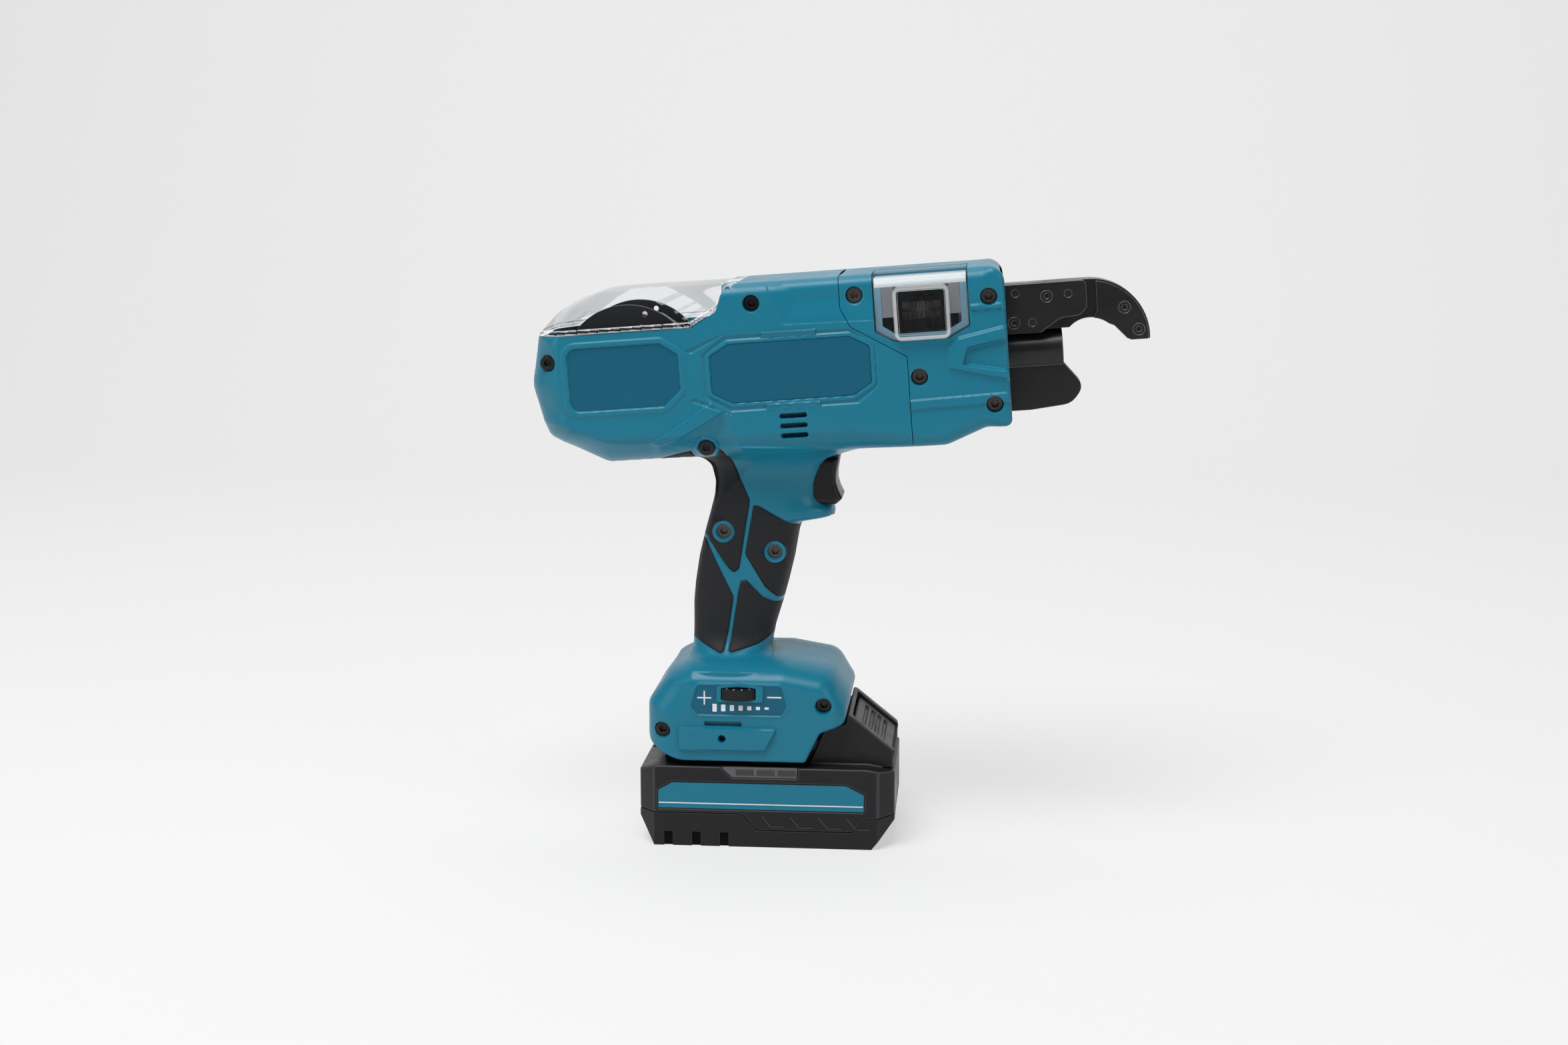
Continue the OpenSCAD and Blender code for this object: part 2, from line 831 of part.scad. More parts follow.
module housing_screws() {
    color(black) {
        in_barrel() for (spot = rear_screws) {
            shell_screw(spot, half_w, through_l);
        }
        for (spot = foot_screw_spots) {
            shell_screw(spot, foot_half, through_l);
        }
    }
}

module handle_screws() {
    color(black) for (spot = handle_screw_spots) {
        shell_screw([spot.x, at_share(spot.y)], grip_half, handle_screw_l);
    }
}

module nose_screws() {
    color(black) in_barrel() {
        shell_screw(cover_screws[0], half_w, through_l);
        for (i = [1, 3]) {
            shell_screw(cover_screws[i], half_w, half_w - cheek_y);
        }
        shell_screw(cover_screws[2], half_w, half_w - frame_r + 3.5);
    }
}

// Threaded insert for the belt hook's screw
module hook_insert() {
    color("goldenrod") difference() {
        rod([insert_x, insert_z], insert_out, -foot_half, -foot_half + insert_l);
        rod([insert_x, insert_z], insert_r, -far, far);
    }
}

// Trigger, switch and dial

trigger_low = at_share(trigger_share[0]);
trigger_high = at_share(trigger_share[1]);
trigger_mid = (trigger_low + trigger_high) / 2;
trigger_corners = [[trigger_rear, trigger_low, 3], [29, trigger_low, 1.5],
    [trigger_front + 1.6, trigger_low + 2.8, 1],
    [trigger_front - 2, trigger_low + 10, 12], [trigger_front, trigger_high, 1],
    [trigger_rear, trigger_high, 3]];

module trigger() {
    color(black) {
        rounded_whole(trigger_corners, trigger_w / 2, 2.5);
        box([switch_x[1] - trigger_travel - 1, -stem_w / 2, trigger_mid - stem_h / 2],
            [trigger_rear + 2, stem_w / 2, trigger_mid + stem_h / 2]);
    }
}

module switch_body() {
    color(graphite) difference() {
        box([switch_x[0], -switch_w / 2, at_share(0.74)], [switch_x[1], switch_w / 2, at_share(0.94)]);
        box([switch_x[1] - 2 * trigger_travel - 3, -stem_w / 2 - slide, trigger_mid - stem_h / 2 - slide],
            [far, stem_w / 2 + slide, trigger_mid + stem_h / 2 + slide]);
    }
}

module torque_dial() {
    color(black) translate([dial_x, dial_y, dial_z]) difference() {
        cylinder(r = dial_r, h = dial_h);
        translate([0, 0, -1]) cylinder(r = pot_shaft_r + running, h = dial_h + 2);
        for (i = [0 : dial_ridges - 1]) {
            rotate([0, 0, 360 * i / dial_ridges]) translate([dial_r + 0.15, 0, -1])
                cylinder(r = 0.55, h = dial_h + 2, $fn = 4);
        }
    }
}

module dial_pot() {
    color("dimgray") {
        translate([dial_x - pot_w / 2, dial_y - pot_w / 2, board_z + board_t])
            cube([pot_w, pot_w, dial_z - board_z - board_t - slide]);
        translate([dial_x, dial_y, dial_z - slide - eps]) cylinder(r = pot_shaft_r, h = dial_h + slide + 1);
    }
}

module control_board() {
    color("darkgreen") {
        box([-42, dial_y - 3, board_z], [18, 22, board_z + board_t]);
        for (spot = [[-34, -12], [-34, 6], [-18, 8], [2, -10]]) {
            translate([spot.x, spot.y, board_z + board_t - eps]) cylinder(r = 3.4, h = 6);
        }
    }
}

module terminal_block() {
    color(graphite) {
        box([blade_x[0] - 4, -22, foot_deck], [blade_x[1] + 4, 22, foot_deck + 4]);
    }
    color("goldenrod") for (y = slot_y) {
        box([blade_x[0], y - blade_t / 2, head_top - slot_depth + 1],
            [blade_x[1], y + blade_t / 2, foot_deck + eps]);
    }
}

// Spool and wire

module spool() {
    color("#26272a") in_barrel() translate([spool_u, 0, spool_w]) rotate([90, 0, 0]) difference() {
        union() {
            cylinder(r = drum_r, h = 2 * spool_half, center = true);
            for (side = [-1, 1]) {
                translate([0, 0, side * (spool_half - flange_t / 2)])
                    cylinder(r = flange_r, h = flange_t, center = true, $fn = 96);
            }
        }
        cylinder(r = axle_r + running, h = far, center = true);
        for (i = [0 : 5]) {
            rotate([0, 0, 60 * i + 30]) translate([(drum_r + axle_r) / 2 + 0.4, 0, 0])
                cylinder(r = (drum_r - axle_r) / 4, h = far, center = true);
        }
        rotate([0, 0, 70]) translate([flange_r - 3, 0, 0]) cylinder(r = 1.2, h = far, center = true);
    }
}

module wire_pack() {
    color(steel) in_barrel() translate([spool_u, 0, spool_w]) rotate([90, 0, 0]) difference() {
        cylinder(r = pack_r, h = spool_gap - 2 * seam, center = true, $fn = 96);
        cylinder(r = drum_r + seam / 2, h = far, center = true);
    }
}

// Path of the outer layer: a helix whose ends turn and run straight into the flanges
wire_r = wire_d / 2;
end_turn = 2.5 * wire_d;
wind_half = spool_gap / 2 - end_turn - wire_d - seam;
wire_pitch = 2 * wind_half / wire_loops;
loop_rings = 24;
wind_r = (pack_r + wire_r + 0.06) / cos(180 / loop_rings);
function helix_point(t) = [wind_r * cos(360 * t), wind_r * sin(360 * t),
    (t / wire_loops - 0.5) * 2 * wind_half];
function end_points(way) =
    let (
        base = helix_point(way < 0 ? 0 : wire_loops),
        forward = way * unit([-base.y, base.x, 0])
    )
    concat(
        [for (a = [30 : 30 : 90])
            base + end_turn * sin(a) * forward + way * end_turn * (1 - cos(a)) * [0, 0, 1]],
        [base + end_turn * forward + way * (end_turn + wire_d) * [0, 0, 1]]);
function reversed(list) = [for (i = [len(list) - 1 : -1 : 0]) list[i]];
wire_path = concat(
    reversed(end_points(-1)),
    [for (i = [0 : wire_loops * loop_rings]) helix_point(i / loop_rings)],
    end_points(1));

// Least distance between two points of the path at least half a loop apart, less the wire
wire_gap = min([for (i = [0 : 3 : len(wire_path) - 1])
    for (j = [i + loop_rings / 2 : min(i + 2 * loop_rings, len(wire_path) - 1)])
        norm(wire_path[i] - wire_path[j])]) - wire_d;
echo(wire_gap_to_itself = wire_gap);

// A tube of six sides along a path
module tube(path, r) {
    n = len(path);
    sides = 6;
    rings = [for (i = [0 : n - 1])
        let (
            way = unit(path[min(i + 1, n - 1)] - path[max(i - 1, 0)]),
            out = unit([path[i].x, path[i].y, 0] - way * ([path[i].x, path[i].y, 0] * way)),
            up = cross(way, out)
        )
        [for (k = [0 : sides - 1]) path[i] + r * (cos(360 * k / sides) * out + sin(360 * k / sides) * up)]];
    polyhedron([for (ring = rings) each ring], ring_faces(n, sides), convexity = 12);
}

module wire_winding() {
    color(steel) in_barrel() translate([spool_u, 0, spool_w]) rotate([90, 0, 0]) tube(wire_path, wire_r);
}

module spool_axle() {
    color(steel) in_barrel() rod([spool_u, spool_w], axle_r, -inner_y + seam, inner_y - seam);
}

// Twister drive

module twist_motor() {
    color("#3a3b3e") in_barrel() difference() {
        union() {
            along(motor_r, motor_u[0] + 4, motor_u[1]);
            along(motor_r - 2, motor_u[0], motor_u[0] + 4 + eps);
            along(4, motor_u[0] - 3, motor_u[0] + eps);
        }
        for (i = [0 : 3]) {
            rotate([90 * i + 45, 0, 0]) box([motor_u[0] + 6, motor_r - 3, -3], [motor_u[0] + 14, far, 3]);
        }
    }
}

module gearbox() {
    color(steel) in_barrel() difference() {
        union() {
            along(gearbox_r, gearbox_u[0], gearbox_u[1] - 8);
            along(gearbox_r - 2, gearbox_u[1] - 8 - eps, gearbox_u[1]);
        }
        along(twister_r + 1, gearbox_u[1] - 10, far);
        for (u = [gearbox_u[0] + 4, gearbox_u[0] + 20]) {
            difference() {
                along(gearbox_r + 1, u, u + 2);
                along(gearbox_r - 0.8, u - 1, u + 3);
            }
        }
    }
}

module main_frame() {
    color("#8d9196") in_barrel() difference() {
        union() {
            along(frame_r, frame_u[0], frame_u[1]);
            along(gearbox_r - 2, frame_u[0], frame_u[0] + collar_l);
            box([frame_u[0], -saddle_half, 0], [frame_u[1], saddle_half, table_w]);
            box([frame_u[1] - 8, -flange_in + seam, -frame_drop], [cheek_u[1], flange_in - seam, -guide_out]);
            for (side = [-1, 1]) {
                low = side < 0 ? -cheek_out : cheek_y;
                box([cheek_u[0], low, -frame_drop], [cheek_u[1], low + cheek_out - cheek_y, jaw_top]);
            }
        }
        along(bearing_r + running, frame_u[0] - 1, frame_u[1] + 1);
        along(guide_out + slide, frame_u[1] - 1, far);
        for (i = [1, 3]) {
            rod(cover_screws[i], screw_r + running, -far, -cheek_y + 1);
        }
        rod(cover_screws[2], screw_r + running, -far, 0);
    }
}

module front_bearing() {
    color(steel) in_barrel() difference() {
        along(bearing_r, bearing_u[0], bearing_u[1]);
        along(twister_r + running, bearing_u[0] - 1, bearing_u[1] + 1);
    }
}

module twist_shaft() {
    color("#55585c") in_barrel() difference() {
        union() {
            along(twister_r, gearbox_u[1] - 9, twister_end);
            along(twister_r + 2, bearing_u[0] - 12, bearing_u[0] - slide);
        }
        box([twister_end - 14, -far, -1.6], [far, far, 1.6]);
    }
}

// Two hooked fingers in the sleeve's slot that catch and twist the wire
module twister_hooks() {
    color(steel) in_barrel() for (side = [0, 180]) {
        rotate([side, 0, 0]) across(-1.5, -4.3)
            polygon([[twister_end - 13.5, -1.4], [twister_end + 6, -1.4], [twister_end + 7.5, 0],
                [twister_end + 6, 1.4], [twister_end - 13.5, 1.4]]);
    }
}

// Wire feed

// A straight spur gear with trapezoid teeth
module gear(teeth, r, h) {
    tooth = 360 / teeth;
    linear_extrude(h) polygon([for (i = [0 : teeth - 1])
        for (step = [[-0.27, -1.15], [-0.2, 0], [-0.09, 0.85], [0.09, 0.85], [0.2, 0], [0.27, -1.15]])
            let (a = tooth * (i + step[0]), reach = r + step[1] * gear_module)
            [reach * cos(a), reach * sin(a)]]);
}

// The wire groove round a feed gear
module wire_groove() {
    difference() {
        translate([0, 0, wire_w - wire_d]) cylinder(r = gear_r + 2, h = 2 * wire_d);
        translate([0, 0, wire_w - wire_d - 1]) cylinder(r = gear_r - 1.2, h = 2 * wire_d + 2);
    }
}

module feed_wheel(low, turn) {
    difference() {
        translate([0, 0, low]) rotate([0, 0, turn]) gear(feed_teeth, gear_r, feed_w[1] - low);
        translate([0, 0, low - 1]) cylinder(r = feed_axle_r + running, h = far);
        wire_groove();
    }
}

module drive_feed_gear() {
    color(steel) in_barrel() translate([feed_u, gear_y, 0]) feed_wheel(spur_w[0], 180 / feed_teeth);
}

module idler_feed_gear() {
    color(steel) in_barrel() translate([feed_u, -gear_y, 0]) feed_wheel(feed_w[0], 0);
}

module feed_pinion() {
    color(steel) in_barrel() translate([feed_u, pinion_y, 0]) {
        translate([0, 0, spur_w[0]]) rotate([0, 0, 90])
            gear(pinion_teeth, pinion_r, spur_w[1] - spur_w[0] - slide);
        translate([0, 0, -4]) cylinder(r = 1.5, h = spur_w[0] + 4 + eps);
    }
}

module feed_motor() {
    color("#3a3b3e") in_barrel() difference() {
        union() {
            upright(feed_u, pinion_y, feed_motor_r, -27, table_w);
            upright(feed_u, pinion_y, 3, -29, -27 + eps);
        }
        upright(feed_u, pinion_y, 1.5 + running, -5, far);
    }
}

// Table with the gears' axles and the wire guides
module feed_block() {
    color(black) in_barrel() difference() {
        union() {
            box([frame_u[0] + collar_l + 1, -gear_y - gear_r - 1.2, table_w],
                [cheek_u[0] - slide, inner_y - slide, table_w + table_t]);
            for (side = [-1, 1]) {
                upright(feed_u, side * gear_y, feed_axle_r, table_w, feed_w[1] + 2);
            }
            upright(feed_u, -gear_y, feed_axle_r + 2.4, table_w, feed_w[0] - slide);
            for (span = [[frame_u[0] + collar_l + 1, feed_u - gear_r - 2],
                [feed_u + gear_r + 2, cheek_u[0] - 1]]) {
                box([span[0], -4.5, table_w], [span[1], 4.5, wire_w + 6]);
            }
        }
        translate([0, 0, wire_w]) along(wire_d, 0, far);
        upright(feed_u, pinion_y, 2.4, 0, far);
    }
}

// Jaw

hook_tip = 2;

module jaw_side_view() {
    difference() {
        union() {
            polygon([[jaw_u, jaw_floor], [126, jaw_floor], [hook_centre.x, jaw_floor],
                [hook_centre.x, jaw_top],
                [jaw_u, jaw_top]]);
            intersection() {
                translate(hook_centre) circle(hook_r, $fn = 96);
                polygon([[hook_centre.x - 1, hook_tip], [far, hook_tip], [far, far],
                    [hook_centre.x - 1, far]]);
            }
        }
        translate(mouth_centre) circle(mouth_r, $fn = 96);
        polygon([[142.3, 0], [142.3, 12.6], [150.9, 8.7], [156.2, 2.8], [158, hook_tip], [158, -1]]);
    }
}

module jaw_holes(spots, r) {
    for (spot = spots) {
        rod(spot, r, -far, far);
    }
}

// Middle plate with the hook, and the groove that curls the wire
module jaw_core() {
    color(black) in_barrel() difference() {
        across(-core_t / 2, core_t / 2) jaw_side_view();
        difference() {
            rod(mouth_centre, groove_r, -wire_d, wire_d);
            across(-far, far)
                polygon([[0, -far], [mouth_centre.x - 7, -far], [mouth_centre.x - 7, far], [0, far]]);
        }
        translate([0, 0, wire_w]) along(wire_d, 0, mouth_centre.x);
        jaw_holes(jaw_screw_spots, jaw_thread_r + running);
        jaw_holes(hook_screw_spots, jaw_thread_r + running);
        jaw_holes(dowel_spots, dowel_r + running);
        rod(cutter_spot, cutter_r + running, -far, cutter_r);
    }
}

module jaw_plate_view() {
    polygon(outline([[jaw_u, 8, 0], [119.3, 8, 0.6], [128, 13.9, 8], [136.2, 14.2, 4], [139.6, 17.5, 3],
        [139.6, jaw_top - 0.2, 2], [jaw_u, jaw_top - 0.2, 0]]));
}

module jaw_plate() {
    difference() {
        across(-core_t / 2 - plate_t, -core_t / 2) jaw_plate_view();
        along(guide_out + slide, 0, far);
        for (spot = jaw_screw_spots) {
            rod(spot, jaw_head_r + running, -far, -core_t / 2 - plate_t + jaw_head_t);
        }
        jaw_holes(jaw_screw_spots, jaw_thread_r + running);
        jaw_holes(dowel_spots, dowel_r + running);
    }
}

module right_jaw_plate() {
    color(black) in_barrel() jaw_plate();
}

module left_jaw_plate() {
    color(black) in_barrel() on_left() jaw_plate();
}

module hook_cheek() {
    difference() {
        across(-core_t / 2 - cheek_t, -core_t / 2) intersection() {
            jaw_side_view();
            translate(hook_centre) circle(hook_r - 0.8, $fn = 96);
            polygon([[142.2, -far], [142.2, 12.4], [143.8, 16], [144.2, far], [far, far], [far, -far]]);
        }
        for (spot = hook_screw_spots) {
            rod(spot, jaw_head_r + running, -far, -core_t / 2 - cheek_t + jaw_head_t);
        }
        jaw_holes(hook_screw_spots, jaw_thread_r + running);
    }
}

module right_hook_cheek() {
    color(black) in_barrel() hook_cheek();
}

module left_hook_cheek() {
    color(black) in_barrel() on_left() hook_cheek();
}

// A folded sheet: a half round over the twister, with a flange below
module lower_guide() {
    difference() {
        union() {
            difference() {
                along(guide_out, jaw_u - 2, guide_end);
                box([0, -far, -far], [far, far, -guide_in + 0.6]);
            }
            across(-flange_out, -flange_in) polygon(outline([[jaw_u - 2, -26.3, 0], [113, -26.3, 12],
                [131, -24.6, 8], [136.8, -17, 5], [128.4, -6.4, 1], [jaw_u - 2, -6.4, 0]]));
        }
        along(guide_in, 0, far);
        box([0, -slide, -far], [far, far, far]);
    }
}

module right_lower_guide() {
    color(black) in_barrel() lower_guide();
}

module left_lower_guide() {
    color(black) in_barrel() on_left() lower_guide();
}

// A flush socket screw from each side of a plate stack
module plate_screws(spots, t) {
    for (spot = spots) {
        for (side = [-1, 1]) {
            face = core_t / 2 + t;
            difference() {
                union() {
                    rod(spot, jaw_head_r, side * face, side * (face - jaw_head_t));
                    rod(spot, jaw_thread_r, side * (face - jaw_head_t + eps), side);
                }
                translate([spot.x, side * face, spot.y]) rotate([90, 0, 0])
                    cylinder(r = 1.3, h = 2, center = true, $fn = 6);
            }
        }
    }
}

module jaw_screws() {
    color(black) in_barrel() plate_screws(jaw_screw_spots, plate_t);
}

module hook_screws() {
    color(black) in_barrel() plate_screws(hook_screw_spots, cheek_t);
}

module jaw_dowels() {
    color(graphite) in_barrel() for (spot = dowel_spots) {
        rod(spot, dowel_r, -core_t / 2 - plate_t + 0.2, core_t / 2 + plate_t - 0.2);
    }
}

// Round shear bush across the wire's way
module wire_cutter() {
    color(steel) in_barrel() difference() {
        rod(cutter_spot, cutter_r, -core_t / 2, cutter_r - seam);
        translate([0, 0, wire_w]) along(wire_d, 0, far);
    }
}

// Battery

seam_z = 15;
case_seam = [[-far, seam_z + 1], [-50.6, seam_z], [-10.8, seam_z], [-3.8, 7.6], [38.4, 7.6], [44, 13.6],
    [far, seam_z + 12]];

module battery_plan() {
    x = battery_l / 2;
    polygon([[-x, case_chamfer - case_half], [case_chamfer - x, -case_half], [x - case_chamfer, -case_half],
        [x, case_chamfer - case_half], [x, case_half - case_chamfer], [x - case_chamfer, case_half],
        [case_chamfer - x, case_half], [-x, case_half - case_chamfer]]);
}

module battery_body() {
    x = battery_l / 2;
    intersection() {
        linear_extrude(deck_z) battery_plan();
        across(-far, far) polygon([[7 - x, 0], [x - 10, 0], [x, 12.4], [x, deck_z - 2], [x - 12, deck_z],
            [7 - x, deck_z], [-x, deck_z - 3], [-x, 11.8]]);
    }
}

module battery_hollow() {
    box([-hollow_x, -case_half + case_wall, case_wall],
        [hollow_x, case_half - case_wall, deck_z - case_wall]);
}

module below_seam(gap) {
    across(-far, far) polygon([for (p = case_seam) [p.x, p.y - gap], [far, -far], [-far, -far]]);
}

module battery_lower_case() {
    color(graphite) difference() {
        intersection() {
            battery_body();
            below_seam(seam / 2);
        }
        battery_hollow();
        for (x = [13.5, 26, 38.5] - [case_front, case_front, case_front]) {
            for (side = [-1, 1]) {
                translate([x, side * case_half, 3.2]) cube([3.8, 2.4, 6.6], center = true);
            }
        }
        for (sx = [-1, 1]) {
            for (sy = [-1, 1]) {
                translate([sx * (case_front - 13), sy * (case_half - 5.6), -1]) cylinder(r = 3, h = 1.6);
            }
        }
    }
}

tower_half = 27;
post_x = hollow_x - 11.4;
post_l = 4;
button_half = 22;
tower_front = case_front - 0.8;
tower_lip = 1.7;
button_face = [[37.4, deck_z + 20.4], [tower_front, deck_z + 5.2]];
tower_profile = [[18.6, deck_z - 1], [25.2, foot_floor + 12.4], [35.2, foot_floor + 16],
    [35.6, deck_z + 22.5], button_face[0] + [0, tower_lip], button_face[1] + [0, tower_lip],
    [tower_front, deck_z - 1]];

// The battery's rail: a neck and a wider head with slots for the tool's blades
module battery_rail() {
    difference() {
        union() {
            box([rail_x[0] + 4, -neck_w / 2, deck_z - 1], [rail_x[1], neck_w / 2, neck_top + 1]);
            across(-head_w / 2, head_w / 2) polygon([[rail_x[0] - 1, neck_top], [rail_x[1] - 9, neck_top],
                [rail_x[1] - 9, head_top], [rail_x[0] + 3, head_top]]);
        }
        for (y = slot_y) {
            box([-far, y - slot_w / 2, head_top - slot_depth], [blade_x[1] + 3, y + slot_w / 2, far]);
        }
    }
}

module battery_upper_case() {
    color(graphite) difference() {
        union() {
            difference() {
                battery_body();
                below_seam(-seam / 2);
                battery_hollow();
            }
            battery_rail();
            across(-tower_half, tower_half) polygon(tower_profile);
            for (x = [post_x, -post_x]) {
                for (y = [-18, 18]) {
                    translate([x, y, deck_z - case_wall - post_l]) cylinder(r = 2.5, h = post_l + eps);
                }
            }
        }
        for (drop = [-tower_lip - 1, 0, button_travel / 2, button_travel]) {
            translate([0, 0, -drop]) across(-button_half - slide, button_half + slide)
                polygon(outline(button_corners, -slide));
        }
        translate([spring_x, 0, deck_z - 1]) cylinder(r = spring_r + 0.8, h = 30);
        across(-far, -case_half + 1.2) polygon(outline(gauge_corners, -seam));
        across(-far, -case_half + label_sink) polygon(outline(battery_label_corners, -seam));
    }
}

button_corners = [[37.2, deck_z + 10.5, 2], [40, deck_z + 8.5, 1], [tower_front, deck_z + 3, 0.6],
    [each button_face[1], 1], [each button_face[0], 1.5]];
spring_x = (case_front + 35) / 2;
spring_r = 4;
spring_turns = 5;
spring_h = 7.4;

// Release button: a slanted pad with grip grooves that sinks into the tower
module release_button() {
    color(black) difference() {
        across(-button_half, button_half) polygon(outline(button_corners));
        for (i = [0 : 3]) {
            reach = 0.28 + 0.15 * i;
            spot = button_face[0] * (1 - reach) + button_face[1] * reach;
            rod(spot, 0.9, -button_half + 6, button_half - 6);
        }
        translate([spring_x, 0, 0]) cylinder(r = spring_r + 0.8, h = deck_z + spring_h + slide);
    }
}

spring_path = [for (i = [0 : spring_turns * 8])
    [spring_r * cos(45 * i), spring_r * sin(45 * i), spring_h * i / (spring_turns * 8)]];

module button_spring() {
    color(steel) translate([spring_x, 0, deck_z - 0.4]) tube(spring_path, 0.5);
}

gauge_corners = [[-15, deck_z - 4.6, 0.5], [13.8, deck_z - 4.6, 0.5], [14.1, deck_z, 0], [-20, deck_z, 0.5]];
label_rear = 9 - case_front;
label_front = case_front - 13.4;
battery_label_corners = [[label_rear, 17.2, 0.5], [label_front, 17.2, 0.5], [label_front, 25, 0.5],
    [label_front - 8, 29, 1], [label_rear + 6.3, 29, 1], [label_rear, 25.4, 0.5]];

module gauge_lens() {
    color("#6d6e70") across(-case_half, -case_half + 1.2) polygon(outline(gauge_corners));
}

module battery_label() {
    color(teal) across(-case_half + label_sink - label_t, -case_half + label_sink)
        polygon(outline(battery_label_corners));
}

module battery_cells() {
    color("steelblue") for (i = [0 : cell_count - 1]) {
        rod([(i - (cell_count - 1) / 2) * (2 * cell_r + cell_gap), case_wall + slide + cell_r], cell_r,
            4 - case_half, case_half - 4);
    }
}

module battery_board() {
    top = deck_z - case_wall - post_l - 0.1;
    color("darkgreen") difference() {
        box([5.4 - hollow_x, 12 - case_half, top - board_t], [hollow_x - 5.4, case_half - 12, top]);
        translate([0, 0, top - 2]) cylinder(r = 3, h = 3);
    }
}

// Spring leaves beside each blade slot
module battery_terminals() {
    color("goldenrod") for (y = slot_y) {
        for (side = [-1, 1]) {
            translate([blade_x[1] - 6, y + side * (slot_w / 2 - 0.2), head_top - slot_depth + 3.2])
                cube([8, 0.3, 5.5], center = true);
        }
    }
}

module battery_screws() {
    color(black) for (sx = [-1, 1]) {
        for (sy = [-1, 1]) {
            translate([sx * (case_front - 13), sy * (case_half - 5.6), 0.1]) cylinder(r = 2.8, h = 0.5);
        }
    }
}

right_housing();
left_housing();
right_nose_cover();
left_nose_cover();
right_grip();
left_grip();
spool_cover();
cover_hinge_pin();
feed_window();
rear_label_plate();
side_label_plate();
dial_panel();
housing_screws();
nose_screws();
handle_screws();
hook_insert();
trigger();
switch_body();
torque_dial();
dial_pot();
control_board();
terminal_block();
spool();
wire_pack();
wire_winding();
spool_axle();
twist_motor();
gearbox();
main_frame();
front_bearing();
twist_shaft();
twister_hooks();
feed_block();
feed_motor();
feed_pinion();
drive_feed_gear();
idler_feed_gear();
jaw_core();
right_jaw_plate();
left_jaw_plate();
right_hook_cheek();
left_hook_cheek();
right_lower_guide();
left_lower_guide();
jaw_screws();
hook_screws();
jaw_dowels();
wire_cutter();
battery_lower_case();
battery_upper_case();
battery_cells();
battery_board();
battery_terminals();
battery_screws();
gauge_lens();
battery_label();
release_button();
button_spring();
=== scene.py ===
"""Looks of a rebar tying tool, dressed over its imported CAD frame.

Lengths in the tables are millimetres in the tool's side plane: x forwards, z up. The barrel's own
frame (u, w) is tilted, and `barrel()` turns its points into the side plane.
"""

import json
import logging
import math
from contextlib import contextmanager
from dataclasses import dataclass, field
from enum import Enum
from typing import Callable, Iterator, Optional, Sequence

import bmesh
import bpy
import numpy as np
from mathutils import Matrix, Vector
from mathutils.bvhtree import BVHTree


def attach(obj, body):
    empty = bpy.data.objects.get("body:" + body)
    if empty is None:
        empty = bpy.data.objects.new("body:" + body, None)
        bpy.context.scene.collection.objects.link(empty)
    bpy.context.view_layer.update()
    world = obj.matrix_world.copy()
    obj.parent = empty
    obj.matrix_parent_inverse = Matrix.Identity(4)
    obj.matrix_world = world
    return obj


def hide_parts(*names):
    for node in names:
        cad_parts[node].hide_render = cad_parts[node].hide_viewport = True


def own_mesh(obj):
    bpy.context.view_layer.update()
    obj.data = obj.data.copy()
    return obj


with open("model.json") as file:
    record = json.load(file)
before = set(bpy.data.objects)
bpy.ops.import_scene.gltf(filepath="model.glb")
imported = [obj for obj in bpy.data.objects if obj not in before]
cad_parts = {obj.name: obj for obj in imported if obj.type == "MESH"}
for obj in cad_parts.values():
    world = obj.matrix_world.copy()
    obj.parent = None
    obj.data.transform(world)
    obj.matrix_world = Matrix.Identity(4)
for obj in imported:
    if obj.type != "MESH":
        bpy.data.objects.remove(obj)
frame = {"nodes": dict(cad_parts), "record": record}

LOG = logging.getLogger("tying_tool")
MM = 0.001
FAR = 300.0
Field = Callable[[np.ndarray], np.ndarray]
Colour = tuple[float, float, float]
Inputs = dict[str | int, object]
Socket = bpy.types.NodeSocket
TILT = math.radians(4.3)
BARREL_Z = 211.0
HALF_WIDTH = 36.0
FOOT_HALF = 36.5
MIDDLE = 0.05
SHARP = 42.0
DOUBLE, SLIVER, FLAT_ANGLE = 2e-6, 4e-5, math.radians(0.6)
PLASTIC_IOR = 1.5
GLANCE_TINT = (0.5, 0.51, 0.52)
BUMP_DEPTH = 0.0001
GRAIN_DETAIL = 2.0
MOTTLE_SCALE, MOTTLE_DETAIL = 60.0, 6.0
MOTTLE_LOW, MOTTLE_HIGH = 0.3, 0.7


class Side(Enum):
    """The tool's sides: the sign of y on each."""

    RIGHT = -1
    LEFT = 1


def opaque(colour: Colour) -> tuple[float, ...]:
    """Returns a colour with full alpha."""
    return (*colour, 1.0)


def put(name: str, data: bpy.types.ID) -> bpy.types.Object:
    """Returns a new object that is in the scene."""
    obj = bpy.data.objects.new(name, data)
    bpy.context.scene.collection.objects.link(obj)
    return obj


